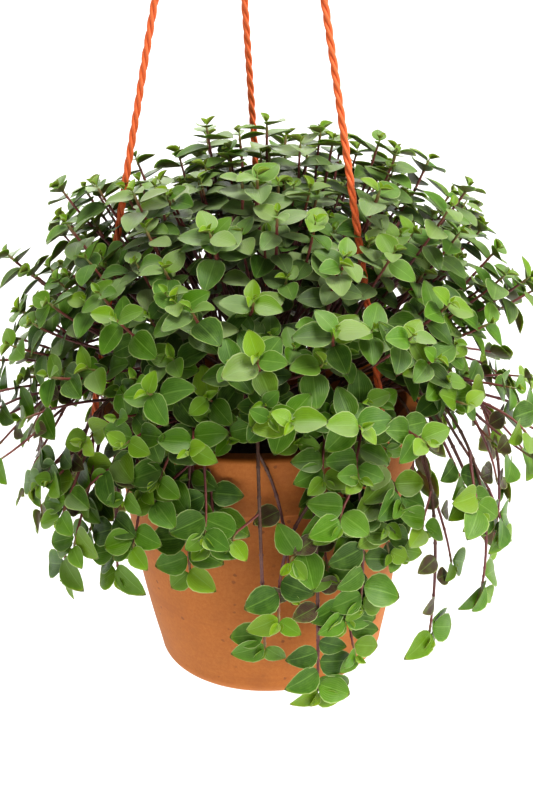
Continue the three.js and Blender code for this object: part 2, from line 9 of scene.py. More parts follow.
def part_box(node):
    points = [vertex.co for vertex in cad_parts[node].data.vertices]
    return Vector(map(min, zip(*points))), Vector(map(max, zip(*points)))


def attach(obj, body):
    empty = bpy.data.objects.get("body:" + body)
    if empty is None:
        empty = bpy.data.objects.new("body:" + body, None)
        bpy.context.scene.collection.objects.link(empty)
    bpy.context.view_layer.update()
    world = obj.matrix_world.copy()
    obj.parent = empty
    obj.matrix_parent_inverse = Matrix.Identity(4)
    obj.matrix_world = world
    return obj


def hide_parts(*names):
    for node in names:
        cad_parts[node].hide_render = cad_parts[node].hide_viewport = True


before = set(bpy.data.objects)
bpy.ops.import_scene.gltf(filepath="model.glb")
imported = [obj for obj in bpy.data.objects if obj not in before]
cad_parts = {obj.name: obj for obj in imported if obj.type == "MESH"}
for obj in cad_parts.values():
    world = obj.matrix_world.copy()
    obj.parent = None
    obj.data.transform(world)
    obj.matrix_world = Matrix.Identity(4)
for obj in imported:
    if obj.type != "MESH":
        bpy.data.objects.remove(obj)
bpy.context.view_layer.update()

bl_info = {
    "name": "Hanging Turtle Vine",
    "version": (1, 0, 0),
    "blender": (4, 5, 0),
    "location": "View3D > Sidebar > Vine",
    "description": "A turtle vine in a hanging terracotta pot",
    "category": "Object",
}

# The plan below is in millimetres from the middle of the pot's rim, and turned into metres when it is built
MM = 0.001
RIM = Vector((0, 0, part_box("pot")[1][2]))

# Pot
RIM_RADIUS = 110
COLLAR_HEIGHT = 43
COLLAR_FOOT_RADIUS = 103
COLLAR_WALL = 14
POT_HEIGHT = 188
BODY_TOP_RADIUS = 99
BODY_FOOT_RADIUS = 76
BODY_BULGE = 0.58
FOOT_ROUNDING = 12
POT_WALL = 8
RIM_ROUNDING = 3
COLLAR_ROUNDING = 1.8
DRAIN_RADIUS = 7
POT_SIDES = 128
ROPE_HOLE_RADIUS = 5.3
ROPE_HOLE_HEIGHT = -13.6

# Soil
SOIL_EDGE = -24
SOIL_CROWN = 5
SOIL_RINGS = 34
SOIL_SIDES = 96
SOIL_LUMPS = 1.8
SEAT_GAP = 0.5

# Ropes, from the gather knot down over the rim to their stop knots
ROPE_RADIUS = 2.5
ROPE_STEP = 1.6
STRANDS = 3
STRAND_SIDES = 10
STRAND_OFFSET = 0.53
STRAND_THICKNESS = 0.475
STOP_KNOT_SEAT = 6.8
STOP_KNOT_SIZE = 1.35
STOP_KNOT_DEPTH = 2.4
STOP_KNOT_RADIUS = 2.1
STOP_KNOT_PITCH = 20.0
STOP_KNOT_STEPS = 59
GATHER_KNOT_FOOT = 470.3
GATHER_KNOT_HEIGHT = 23.7
GATHER_KNOT_RADIUS = 9.1
GATHER_KNOT_TURNS = 4
TURN_STEPS = 40
LOOP_HEIGHT = 45
ROPE_ROUTES = {
    "left": [
        (-5, -0.5, 470), (-6, -0.6, 461), (-12.1, -1.1, 445), (-18.3, -1.8, 420), (-23.5, -2.3, 400),
        (-34, -3.3, 360), (-44.1, -4.4, 320), (-54.5, -5.4, 280), (-64, -6.3, 240), (-73, -7.2, 200),
        (-82, -8.2, 160), (-90.5, -9.1, 120), (-98.5, -10, 80), (-106, -11, 40), (-112, -11.7, 10),
    ],
    "right": [
        (4, -3.5, 470), (5, -4.2, 461), (11.1, -8.7, 445), (17.1, -13.4, 420), (21.5, -17, 400),
        (29.5, -24.1, 360), (36.6, -31.3, 320), (43.2, -38.3, 280), (48.5, -44.9, 240), (53.4, -51.4, 200),
        (58.2, -58, 160), (63, -64.6, 120), (67.6, -71, 80), (72, -77.6, 40), (75.4, -82.8, 10),
    ],
    "back": [
        (-0.5, 5.5, 470), (-0.8, 6.3, 461), (-3.8, 11.3, 445), (-5.3, 17.5, 420), (-5.7, 22.5, 400),
        (-5.7, 32.2, 360), (-4.8, 41.9, 320), (-3.6, 51.6, 280), (-2.3, 60.3, 240), (-1.1, 69.2, 200),
        (0.1, 78, 160), (1.3, 86.9, 120), (2.5, 95.5, 80), (3.4, 104.4, 40), (3.9, 111.8, 10),
    ],
}
ROPE_ENTRY = [(114.2, -1.2), (113.6, -6.4), (110.4, -10.7), (105.2, -13.3), (97.1, ROPE_HOLE_HEIGHT)]
ROPE_TAIL = [(2.9, 492), (2.9, 480)]
LOOP_HALF = [(3.2, -8), (3.6, -2), (5.1, 5), (7.6, 11), (11, 19), (12.6, 28), (10.2, 37), (5.6, 42.4)]

# Shoots
CROWN_COUNT = 28
CROWN_TILT = math.radians(95)
CROWN_REACH = 187
CROWN_REACHES = (1, 0.95, 0.88)
CROWN_TURN = 0.25
GOLDEN_ANGLE = math.radians(137.508)
CROWN_FOOT_RADIUS = 62
TRAIL_FOOT_RADIUS = 76
FRONT_HOLLOW = 26
SIDE_LOBE = 12
TRAIL_RISE = 120
TRAIL_LEAN = 8
TRAIL_OVERHANG = 24
TRAIL_CREST = 20
STEEP_DROP = 110
FORK_SPREAD = 0.15
TURN_LIMIT = 0.35
FORK_SHARES = (0.42, 0.58)
MAIN_HANDLE = 0.42
FORK_HANDLE = 0.35
FORK_ASIDE = 0.9
HOLE_DEPTH = 11
HOLE_GAP = 0.3
PLANT_SEED = 11
CROWN_FILL_SEED = 1000
TRAIL_FILL_SEED = 2000
CLUMP_SEED = 300
LEAF_SEED = 77

# The trailing clumps: bearing in degrees, distance from the axis and height of the lowest tip
TRAILS = [
    (-76, 119, -163), (-92, 117, -128), (-114, 122, -76), (-134, 138, -82), (-149, 153, -90),
    (-161, 186, -8), (-40, 136, -140), (-63, 127, -100), (-33, 164, -108), (-24, 186, -20),
    (173, 162, -92), (147, 150, -120), (121, 172, -58), (94, 133, -136), (68, 160, -84),
    (42, 150, -118), (17, 172, -62), (-4, 158, -112),
]
# A trailing clump's tips: degrees aside, distance further out, and height as a share of the lowest tip's
TRAIL_TIPS = ((0, 0, 1), (8, 6, 0.68), (-8, 10, 0.38))
# The trails whose stems hang bare over the rim, with purple leaves here and there
BARE_TRAILS = (1, 6)

# Leaves from a stem's tip down: distance from the tip, length in millimetres and opening in degrees
LEAVES = [
    (0.2, 4.5, 20), (0.8, 8.5, 56), (2.4, 15, 72), (5.2, 19.5, 80), (10, 21.5, 84), (16, 22, 86),
    (23.5, 21.5, 88), (32, 21, 90), (41, 20, 92), (51, 19, 95), (63, 18, 98),
]
LEAF_TURN = math.radians(218)
LEAF_GAP = 19
LEAF_SHAPES = 6
YOUNG_SHAPES = 2
YOUNG_RANKS = 2
FULL_LEAF = 0.022
STEM_SIDES = 7
STEM_WAIST = 0.94
# The least and the greatest distance between two rings of a stem
RING_GAPS = (0.4, 9)

# How far leaves keep from the pot, from the ropes and from the faces of other leaves
POT_CLEARANCE = 1.2
ROPE_CLEARANCE = 1
LEAF_CLEARANCE = 2.2

# Stage
CAMERA_PLACE = (2.42, -959.42, 360.36)
CAMERA_PITCH = 0.359
CAMERA_ROLL = 0.035
CAMERA_LENS = 68.0
SENSOR_WIDTH = 36.0
CAMERA_SIGHT = 100
FLOOR_REACH = 30.0
# Far soft lights: the direction in which each stands, its strength and its width in degrees
SUNS = {
    "side": ((0.85, -0.28, 0.45), 1.9, 30),
    "top": ((0.15, -0.3, 0.94), 2.2, 26),
    "rear": ((-0.15, 0.9, 0.4), 1.2, 50),
}

BLACK = (0, 0, 0)


def random_stream(seed):
    """Random numbers from 0 to 1, the same in every run."""
    state = seed & 0xFFFFFFFF

    def draw():
        nonlocal state
        state = (state + 0x6D2B79F5) & 0xFFFFFFFF
        mixed = ((state ^ (state >> 15)) * (state | 1)) & 0xFFFFFFFF
        mixed ^= (mixed + ((mixed ^ (mixed >> 7)) * (mixed | 61))) & 0xFFFFFFFF
        return ((mixed ^ (mixed >> 14)) & 0xFFFFFFFF) / 4294967296

    return draw


def in_row(point):
    """A point of the plan, in metres in the part's frame."""
    return Vector(point) * MM + RIM


def around(angle, radius, height):
    """A point by its bearing, its distance from the axis and its height."""
    return Vector((radius * math.cos(angle), radius * math.sin(angle), height))


def mix(low, high, share):
    return low + (high - low) * share


def smooth_step(value, low, high):
    share = min(1, max(0, (value - low) / (high - low)))
    return share * share * (3 - 2 * share)


def body_radius(height):
    """Radius of the pot's body at a height, narrowing faster towards the foot."""
    share = min(1, max(0, (-COLLAR_HEIGHT - height) / (POT_HEIGHT - COLLAR_HEIGHT)))
    return BODY_TOP_RADIUS + (BODY_FOOT_RADIUS - BODY_TOP_RADIUS) * (
        (1 - BODY_BULGE) * share + BODY_BULGE * share * share
    )


def inside_radius(height):
    """Radius of the pot's hollow at a height."""
    share = min(1, -height / (COLLAR_HEIGHT + POT_WALL))
    return min(
        mix(RIM_RADIUS - COLLAR_WALL, BODY_TOP_RADIUS - POT_WALL, share), body_radius(height) - POT_WALL
    )


def outside_radius(height):
    """Radius of the pot with its collar at a height."""
    if height > -COLLAR_HEIGHT:
        return mix(RIM_RADIUS, COLLAR_FOOT_RADIUS, -height / COLLAR_HEIGHT)
    return body_radius(height)


def soil_height(radius):
    """Height of the soil, which swells a little towards the middle."""
    share = radius / inside_radius(SOIL_EDGE)
    return SOIL_EDGE + SOIL_CROWN * (1 - share * share)


class Path:
    """A smooth cubic curve that is read by its share of the length."""

    STEPS = 48

    def __init__(self, *controls):
        self.controls = [Vector(c) for c in controls]
        self.params = [i / self.STEPS for i in range(self.STEPS + 1)]
        points = [self.point(t) for t in self.params]
        self.lengths = [0.0]
        for a, b in zip(points, points[1:]):
            self.lengths.append(self.lengths[-1] + (b - a).length)
        self.length = self.lengths[-1]

    def point(self, t):
        a, b, c, d = self.controls
        s = 1 - t
        return a * s**3 + b * (3 * s * s * t) + c * (3 * s * t * t) + d * t**3

    def slope(self, t):
        a, b, c, d = self.controls
        s = 1 - t
        return ((b - a) * s * s + (c - b) * (2 * s * t) + (d - c) * t * t).normalized()

    def param(self, share):
        goal = min(1, max(0, share)) * self.length
        for i in range(self.STEPS):
            if self.lengths[i + 1] >= goal or i == self.STEPS - 1:
                part = (goal - self.lengths[i]) / max(1e-9, self.lengths[i + 1] - self.lengths[i])
                return (i + min(1, part)) / self.STEPS

    def at(self, share):
        t = self.param(share)
        return self.point(t), self.slope(t)


def heading(tilt, turn):
    """A direction by its angle from the upright and its bearing."""
    return around(turn, math.sin(tilt), math.cos(tilt))


def crown_tip(tilt, turn, reach):
    """A tip of a crown shoot and the way it points: upright near the top, drooping at the sides."""
    front = max(0, -math.sin(turn)) * math.sin(tilt) ** 3
    lobe = max(0, math.cos(turn)) * max(0, math.sin(2 * tilt))
    length = (CROWN_REACH - FRONT_HOLLOW * front + SIDE_LOBE * lobe) * reach
    droop = smooth_step(tilt, 1, 1.6)
    direction = (heading(tilt, turn) + Vector((0, 0, 0.35 - 0.8 * droop))).normalized()
    return heading(tilt, turn) * length, direction


def crown_tips(index, draw):
    """The three tips of a crown clump, near one heading on the dome."""
    share = (index + 0.5) / CROWN_COUNT
    tilt = math.acos(1 - share * (1 - math.cos(CROWN_TILT)))
    turn = CROWN_TURN + index * GOLDEN_ANGLE
    spin = math.tau * draw()
    tips = []
    for fork, reach in enumerate(CROWN_REACHES):
        angle = spin + fork * math.tau / 3
        tip_tilt = abs(tilt + FORK_SPREAD * math.cos(angle))
        tip_turn = turn + FORK_SPREAD * math.sin(angle) / max(math.sin(tilt), TURN_LIMIT)
        tips.append(crown_tip(tip_tilt, tip_turn, reach * (0.97 + 0.06 * draw())))
    return tips, tilt, turn


def trail_tips(bearing, distance, drop):
    """Tips of a trailing clump: one that hangs lowest and two above it, to its sides."""
    tips = []
    for side, out, fall in TRAIL_TIPS:
        turn = math.radians(bearing + side)
        level = min(1, max(0, 1 + drop / STEEP_DROP))
        direction = around(turn, 0.12 + 0.88 * level, 0.7 * level - 1).normalized()
        tips.append((around(turn, distance + out, drop * fall), direction, turn, level))
    return tips


def trail_path(foot, bearing, tip, turn, level):
    """The main stem of a trailing clump: up from its foot, over the rim and down to its tip."""
    rising = around(bearing, TRAIL_FOOT_RADIUS + TRAIL_LEAN, foot.z + TRAIL_RISE)
    distance = math.hypot(tip.x, tip.y) + mix(TRAIL_OVERHANG, -1.5 * TRAIL_OVERHANG, level)
    falling = around(turn, distance, mix(TRAIL_CREST, tip.z + 1.5 * TRAIL_CREST, level))
    return Path(foot, rising, falling, tip)


def stem_path(start, leaving, tip, direction, handle):
    """A stem that leaves its start one way and points another way at its tip."""
    reach = handle * (tip - start).length
    return Path(start, start + leaving * reach, tip - direction * reach, tip)


def fork_path(main, share, tip, direction):
    """A stem that leaves another one at a share of its length."""
    start, along = main.at(share)
    aside = tip - start
    aside = (aside - along * aside.dot(along)).normalized()
    return stem_path(start, (along + aside * FORK_ASIDE).normalized(), tip, direction, FORK_HANDLE)


def foot_at(bearing, radius):
    """The place in the soil from which a clump grows."""
    return around(bearing, radius, soil_height(radius) - HOLE_DEPTH + HOLE_GAP)


def stem(path, spin, leaves, vigour=1.0, old=0.0, spacing=1.0, hanging=False):
    """A stem with its leaf count, the size and spacing of its leaves and how old it looks.

    A long hanging one also bears old purple leaves further up.
    """
    return {
        "path": path,
        "spin": spin,
        "leaves": leaves,
        "vigour": vigour,
        "old": old,
        "spacing": spacing,
        "hanging": hanging,
    }


def crown_clump(index, draw, extra):
    """A crown clump's stems: a main one from the soil, two forks and its side shoots."""
    bearing = CROWN_TURN + index * GOLDEN_ANGLE
    radius = CROWN_FOOT_RADIUS * math.sqrt((index + 0.5) / CROWN_COUNT)
    foot = foot_at(bearing, radius)
    tips, tilt, turn = crown_tips(index, draw)
    main = stem_path(foot, Vector((0, 0, 1)), *tips[0], MAIN_HANDLE)
    leaves = round(10 - 5 * abs(math.cos(turn)) * smooth_step(tilt, 1.2, 1.5))
    stems = [stem(main, math.tau * draw(), leaves)]
    for fork in (1, 2):
        path = fork_path(main, FORK_SHARES[fork - 1], *tips[fork])
        stems.append(stem(path, math.tau * draw(), leaves - 1))
    stems += crown_fill(main, tilt, turn, index, extra)
    return stems


def crown_fill(main, tilt, turn, index, extra):
    """Shorter side shoots that thicken a crown clump below its three long stems."""
    draw = random_stream(CROWN_FILL_SEED + index)
    stems = []
    side = abs(math.cos(turn)) * smooth_step(tilt, 1.2, 1.5)
    top = 1 - smooth_step(tilt, 0.5, 1.0)
    for i in range(round(extra * (1 - 0.85 * side + 0.45 * top))):
        angle = math.tau * (i + draw()) / extra
        spread = 0.12 + 0.2 * draw()
        tip_tilt = abs(tilt + spread * math.cos(angle))
        tip_turn = turn + spread * math.sin(angle) / max(math.sin(tilt), TURN_LIMIT)
        reach = mix(0.7, 0.96, (i + draw()) / extra % 1) * (1 - 0.14 * side)
        reach += 0.18 * abs(math.cos(turn)) * max(0, math.sin(2 * tilt)) * mix(0.4, 1, draw())
        tip, direction = crown_tip(tip_tilt, tip_turn, reach)
        path = fork_path(main, mix(0.2, 0.55, draw()), tip, direction)
        stems.append(stem(path, math.tau * draw(), 8, mix(0.85, 1.05, draw()), 0.15))
    return stems


def trail_clump(index, draw, extra):
    """A trailing clump's stems; the fuller ones hang at the front and the back."""
    bearing, distance, drop = TRAILS[index]
    foot = foot_at(math.radians(bearing), TRAIL_FOOT_RADIUS)
    tips = trail_tips(bearing, distance, drop)
    main = trail_path(foot, math.radians(bearing), *[tips[0][i] for i in (0, 2, 3)])
    fullness = smooth_step(abs(math.sin(math.radians(bearing))), 0.35, 0.85)
    bare = index in BARE_TRAILS
    leaves = 6 if bare else round(mix(5, 11, fullness))
    stems = [stem(main, math.tau * draw(), leaves, 1.16, spacing=0.82, hanging=True)]
    for fork in (1, 2):
        path = fork_path(main, FORK_SHARES[fork - 1], *tips[fork][:2])
        stems.append(stem(path, math.tau * draw(), leaves - 1, 1.1, spacing=0.82, hanging=True))
    stems += [] if bare else trail_fill(main, index, round(extra * mix(0.2, 1, fullness)))
    return stems


def trail_fill(main, index, extra):
    """Side shoots along a trailing stem, which end beside it."""
    draw = random_stream(TRAIL_FILL_SEED + index)
    bearing, distance, drop = TRAILS[index]
    stems = []
    for i in range(extra):
        turn = math.radians(bearing + mix(-13, 13, draw()))
        fall = mix(0.1, 0.9, (i + draw()) / extra)
        tip = around(turn, distance + mix(-4, 12, draw()), drop * fall + 8)
        direction = around(turn, 0.5, -0.8).normalized()
        path = fork_path(main, mix(0.25, 0.5, draw()), tip, direction)
        stems.append(stem(path, math.tau * draw(), 8, mix(0.95, 1.15, draw()), 0.1, 0.85))
    return stems


def plan_clumps(crown_extra, trail_extra):
    """Every clump's name and stems, in the order in which the random numbers are drawn."""
    draw = random_stream(PLANT_SEED)
    clumps = {}
    for i in range(CROWN_COUNT):
        clumps[f"leafy_shoot_{i + 1:02d}"] = crown_clump(i, draw, crown_extra)
    for i in range(len(TRAILS)):
        clumps[f"trailing_shoot_{i + 1:02d}"] = trail_clump(i, draw, trail_extra)
    return clumps


def light_at(point):
    """The way that the leaves at a point turn to: outwards and up."""
    return (point.normalized() * 0.75 + Vector((0, 0, 0.55))).normalized()


def leaf_place(plan, distance, angle, opening):
    """A leaf's root, its own direction and its upper side."""
    path = plan["path"]
    point, along = path.at(1 - distance / path.length)
    # The leaf stands out from the stem, turned round it from the level
    level = Vector((0, 0, 1)).cross(path.at(0.5)[1])
    out = (level - along * level.dot(along)).normalized()
    out = Matrix.Rotation(plan["spin"] + angle, 3, along) @ out
    # On a stem that lies across the light, the pairs spread to its two sides
    light = light_at(point)
    across = along.cross(light)
    slant = min(1, across.length)
    hand = math.copysign(1, out.dot(across))
    out = out * (1 - 0.8 * slant * slant) + across * (hand * slant)
    out = (out - along * out.dot(along)).normalized()
    # On a hanging stem, the leaves open less and show their upper sides
    hanging = max(0, -along.z)
    opening -= 0.35 * hanging
    direction = out * math.sin(opening) + along * math.cos(opening)
    facing = along * (0.6 * (1 - hanging)) + light * 0.8
    facing = (facing - direction * facing.dot(direction)).normalized()
    return point + facing * (1.0 * slant) + out * 0.8, direction, facing


class Clearance:
    """Keeps new leaves off the pot, the ropes and the leaves that already stand."""

    CELL = 9.0

    def __init__(self):
        self.leaves = {}
        self.ropes = []
        for route in ROPE_ROUTES.values():
            line = rope_points(route)
            self.ropes += list(zip(line, line[1:]))

    def hits_pot(self, point):
        radius = math.hypot(point.x, point.y)
        if point.z > 1.5 or point.z < -POT_HEIGHT:
            return False
        if radius < inside_radius(point.z) - POT_CLEARANCE:
            return point.z < soil_height(radius) + 1
        return radius < outside_radius(point.z) + POT_CLEARANCE

    def hits_rope(self, point):
        for a, b in self.ropes:
            if not min(a.z, b.z) - 4 < point.z < max(a.z, b.z) + 4:
                continue
            span = b - a
            share = min(1, max(0, (point - a).dot(span) / span.length_squared))
            if (a + span * share - point).length < ROPE_RADIUS + ROPE_CLEARANCE:
                return True
        return False

    def cell(self, point):
        return tuple(math.floor(c / self.CELL) for c in point)

    def crowded(self, centre, facing, room):
        x, y, z = self.cell(centre)
        near = (
            other
            for i in (-1, 0, 1)
            for j in (-1, 0, 1)
            for k in (-1, 0, 1)
            for other in self.leaves.get((x + i, y + j, z + k), ())
        )
        for place, side in near:
            apart = centre - place
            if apart.length < room and abs(apart.dot(facing)) < LEAF_CLEARANCE:
                return True
        return False

    def takes(self, root, direction, facing, length):
        """Whether the leaf stands clear; if so, it is noted."""
        across = facing.cross(direction) * (0.3 * length)
        centre = root + direction * (0.5 * length)
        for point in (centre, centre + across, centre - across, root + direction * length):
            if self.hits_pot(point) or self.hits_rope(point):
                return False
        if self.crowded(centre, facing, 0.42 * length):
            return False
        self.leaves.setdefault(self.cell(centre), []).append((centre, facing))
        return True


def rope_points(route):
    """A rope's line from the inside of the gather knot to its stop knot."""
    first, last = route[0], route[-1]
    tail = [around(math.atan2(first[1], first[0]), r, z) for r, z in ROPE_TAIL]
    bearing = math.atan2(last[1], last[0])
    return tail + [Vector(p) for p in route] + [around(bearing, r, z) for r, z in ROPE_ENTRY]


def smooth_line(points, spacing=ROPE_STEP, steps=24):
    """Points at an even spacing on a smooth curve through the given ones, and its length."""
    dense = []
    for i in range(len(points) - 1):
        before = points[max(0, i - 1)]
        a, b = points[i], points[i + 1]
        after = points[min(len(points) - 1, i + 2)]
        for step in range(steps):
            t = step / steps
            curve = 2 * a + (b - before) * t + (2 * before - 5 * a + 4 * b - after) * t * t
            dense.append(0.5 * (curve + (3 * a - before - 3 * b + after) * t**3))
    dense.append(points[-1])
    lengths = [0.0]
    for a, b in zip(dense, dense[1:]):
        lengths.append(lengths[-1] + (b - a).length)
    count = max(2, round(lengths[-1] / spacing))
    line, i = [], 0
    for step in range(count + 1):
        goal = lengths[-1] * step / count
        while i < len(dense) - 2 and lengths[i + 1] < goal:
            i += 1
        share = (goal - lengths[i]) / max(1e-9, lengths[i + 1] - lengths[i])
        line.append(dense[i].lerp(dense[i + 1], min(1, share)))
    return line, lengths[-1]


def frames_along(line):
    """For each point of a line: its direction and two level directions that turn with it without twist."""
    frames = []
    side = None
    for i, point in enumerate(line):
        along = (line[min(i + 1, len(line) - 1)] - line[max(i - 1, 0)]).normalized()
        if side is None:
            side = along.orthogonal().normalized()
        side = (side - along * side.dot(along)).normalized()
        frames.append((along, side, along.cross(side)))
    return frames


def new_object(name, mesh):
    piece = bpy.data.objects.new(name, mesh)
    bpy.context.scene.collection.objects.link(piece)
    return piece


def finished_mesh(name, shape):
    """The shape as a smooth shaded mesh of that name."""
    data = bpy.data.meshes.new(name)
    shape.to_mesh(data)
    shape.free()
    data.polygons.foreach_set("use_smooth", [True] * len(data.polygons))
    data.update()
    return data


def spoke(side, other, angle):
    return side * math.cos(angle) + other * math.sin(angle)


def twisted_rope(name, line, radius=ROPE_RADIUS, pitch=30.0):
    """A rope of strands laid round a line, with an along and round pattern for its fibres."""
    mesh = bmesh.new()
    uv = mesh.loops.layers.uv.new("UVMap")
    frames = frames_along(line)
    travelled = [0.0]
    for a, b in zip(line, line[1:]):
        travelled.append(travelled[-1] + (b - a).length)
    for strand in range(STRANDS):
        centres = []
        for point, (_, side, other), distance in zip(line, frames, travelled):
            angle = -math.tau * (distance / pitch) + strand * math.tau / STRANDS
            centres.append(point + spoke(side, other, angle) * radius * STRAND_OFFSET)
        rings = []
        for centre, (_, side, other) in zip(centres, frames_along(centres)):
            corners = [spoke(side, other, math.tau * k / STRAND_SIDES) for k in range(STRAND_SIDES)]
            ring = [mesh.verts.new(in_row(centre + c * radius * STRAND_THICKNESS)) for c in corners]
            rings.append(ring)
        for i, (low, high) in enumerate(zip(rings, rings[1:])):
            for k in range(STRAND_SIDES):
                n = (k + 1) % STRAND_SIDES
                face = mesh.faces.new((low[k], low[n], high[n], high[k]))
                values = ((i, k), (i, k + 1), (i + 1, k + 1), (i + 1, k))
                for loop, (step, turn) in zip(face.loops, values):
                    loop[uv].uv = (travelled[step] / 10, turn / STRAND_SIDES)
        mesh.faces.new(list(reversed(rings[0])))
        mesh.faces.new(rings[-1])
    return new_object(name, finished_mesh(name, mesh))


def lathe(name, profile, sides=POT_SIDES):
    """A round body from a closed list of distances from the axis and heights."""
    mesh = bmesh.new()
    rings = []
    for radius, height in profile:
        if radius == 0:
            rings.append([mesh.verts.new(in_row((0, 0, height)))] * sides)
            continue
        places = [in_row(around(math.tau * k / sides, radius, height)) for k in range(sides)]
        rings.append([mesh.verts.new(place) for place in places])
    closed = profile[0][0] != 0
    for low, high in zip(rings, rings[1:] + rings[:1] if closed else rings[1:]):
        for k in range(sides):
            n = (k + 1) % sides
            corners = list(dict.fromkeys((low[k], low[n], high[n], high[k])))
            if len(corners) > 2:
                mesh.faces.new(corners)
    bmesh.ops.recalc_face_normals(mesh, faces=mesh.faces)
    return new_object(name, finished_mesh(name, mesh))


def arc(centre, radius, start, end, steps):
    """Points of a rounding in a profile, by its centre and the angles from and to, in degrees."""
    angles = [math.radians(mix(start, end, i / steps)) for i in range(steps + 1)]
    return [(centre[0] + radius * math.cos(a), centre[1] + radius * math.sin(a)) for a in angles]


def grey(level):
    return (level, level, level)


class Wiring:
    """A node tree, with short ways to add and join nodes."""

    def __init__(self, tree):
        self.tree = tree

    def node(self, kind, settings=None, **inputs):
        """A node; each of its inputs is given a value or another node's output."""
        made = self.tree.nodes.new(kind)
        for key, value in (settings or {}).items():
            setattr(made, key, value)
        for key, value in inputs.items():
            self.join(value, made.inputs[key.replace("_", " ")])
        return made

    def join(self, value, socket):
        if isinstance(value, bpy.types.NodeSocket):
            self.tree.links.new(value, socket)
        else:
            socket.default_value = value

    def maths(self, operation, first, second=0.0, third=0.0):
        made = self.node("ShaderNodeMath", {"operation": operation})
        for socket, value in zip(made.inputs, (first, second, third)):
            self.join(value, socket)
        return made.outputs["Value"]


class Shader(Wiring):
    """A material's node tree, from its patterns to its surface."""

    def __init__(self, name):
        self.material = bpy.data.materials.new(name)
        self.material.use_nodes = True
        super().__init__(self.material.node_tree)
        self.surface = self.tree.nodes["Principled BSDF"]

    def place(self):
        return self.node("ShaderNodeTexCoord").outputs["Object"]

    def laid(self):
        """Where a point lies in the piece's own pattern: across and along it."""
        uv = self.node("ShaderNodeUVMap", {"uv_map": "UVMap"}).outputs["UV"]
        split = self.node("ShaderNodeSeparateXYZ", None, Vector=uv)
        return split.outputs["X"], split.outputs["Y"]

    def attribute(self, name):
        return self.node("ShaderNodeAttribute", {"attribute_name": name}).outputs["Fac"]

    def noise(self, vector, scale, detail=3.0, roughness=0.5):
        return self.node(
            "ShaderNodeTexNoise", None, Vector=vector, Scale=scale, Detail=detail, Roughness=roughness
        ).outputs["Fac"]

    def ramp(self, value, *stops):
        made = self.node("ShaderNodeValToRGB")
        self.join(value, made.inputs["Fac"])
        elements = made.color_ramp.elements
        while len(elements) < len(stops):
            elements.new(0.5)
        for element, (position, colour) in zip(elements, stops):
            element.position = position
            element.color = colour if len(colour) == 4 else (*colour, 1)
        return made.outputs["Color"]

    def blend(self, share, first, second):
        """The first colour with a share of the second."""
        made = self.node("ShaderNodeMix", {"data_type": "RGBA"})
        self.join(share, made.inputs["Factor"])
        colours = [socket for socket in made.inputs if socket.type == "RGBA"]
        self.join(first, colours[0])
        self.join((*second, 1), colours[1])
        return next(socket for socket in made.outputs if socket.type == "RGBA")

    def tinge(self, base, colour, value, *stops):
        """The base under a colour, as strong as the stops say for a value."""
        return self.blend(self.ramp(value, *[(at, grey(level)) for at, level in stops]), base, colour)

    def pits(self, place, scale, reach):
        """1 in small ragged spots, which stand in some cells of a pattern."""
        warped = self.node("ShaderNodeVectorMath", {"operation": "ADD"})
        ragged = self.node("ShaderNodeTexNoise", None, Vector=place, Scale=scale * 6).outputs["Color"]
        shift = self.node("ShaderNodeVectorMath", {"operation": "SCALE"}, Vector=ragged, Scale=0.0016)
        self.join(place, warped.inputs[0])
        self.join(shift.outputs["Vector"], warped.inputs[1])
        cells = self.node("ShaderNodeTexVoronoi", None, Vector=warped.outputs["Vector"], Scale=scale)
        chosen = self.node("ShaderNodeSeparateXYZ", None, Vector=cells.outputs["Color"]).outputs["X"]
        spot = self.ramp(cells.outputs["Distance"], (reach * 0.6, grey(1.0)), (reach, BLACK))
        return self.maths("MULTIPLY", spot, self.ramp(chosen, (0.3, BLACK), (0.6, grey(1.0))))

    def bump(self, height, strength, distance):
        made = self.node("ShaderNodeBump", None, Height=height, Strength=strength, Distance=distance)
        self.tree.links.new(made.outputs["Normal"], self.surface.inputs["Normal"])

    def finish(self, **inputs):
        for key, value in inputs.items():
            self.join(value, self.surface.inputs[key.replace("_", " ")])
        return self.material


def clay_material(colour):
    """Fired clay with soft patches, faint throwing lines, fine grain and small brown pits."""
    shade = Shader("Terracotta")
    place = shade.place()
    broad = shade.noise(place, 9.0, 4.0)
    patches = shade.noise(place, 55.0, 5.0, 0.6)
    fine = shade.noise(place, 420.0, 3.0, 0.7)
    flat = shade.node("ShaderNodeMapping", None, Vector=place, Scale=(1.0, 1.0, 16.0)).outputs["Vector"]
    streaks = shade.noise(flat, 9.0, 4.0, 0.6)
    base = shade.ramp(broad, (0.3, [c * 0.86 for c in colour]), (0.7, [min(1, c * 1.15) for c in colour]))
    base = shade.tinge(base, (0.7, 0.3, 0.075), fine, (0.35, 0), (0.75, 0.35))
    base = shade.tinge(base, (0.4, 0.125, 0.025), patches, (0.48, 0), (0.8, 0.55))
    base = shade.tinge(base, (0.4, 0.11, 0.02), streaks, (0.5, 0), (0.8, 0.4))
    pits = shade.pits(place, 110.0, 0.17)
    base = shade.blend(shade.maths("MULTIPLY", pits, 0.7), base, (0.24, 0.075, 0.02))
    height = shade.maths("ADD", fine, shade.maths("MULTIPLY", broad, 0.6))
    height = shade.maths("SUBTRACT", height, pits)
    shade.bump(height, 0.22, 0.0006)
    return shade.finish(Base_Color=base, Roughness=shade.maths("MULTIPLY_ADD", fine, 0.2, 0.62))


def soil_material(colour):
    """Dark crumbs of soil with paler ones between them."""
    shade = Shader("Potting soil")
    place = shade.place()
    lumps = shade.noise(place, 260.0, 5.0, 0.65)
    base = shade.ramp(lumps, (0.3, [c * 0.35 for c in colour]), (0.55, colour), (0.8, (0.13, 0.075, 0.045)))
    shade.bump(lumps, 0.8, 0.002)
    return shade.finish(Base_Color=base, Roughness=0.95)


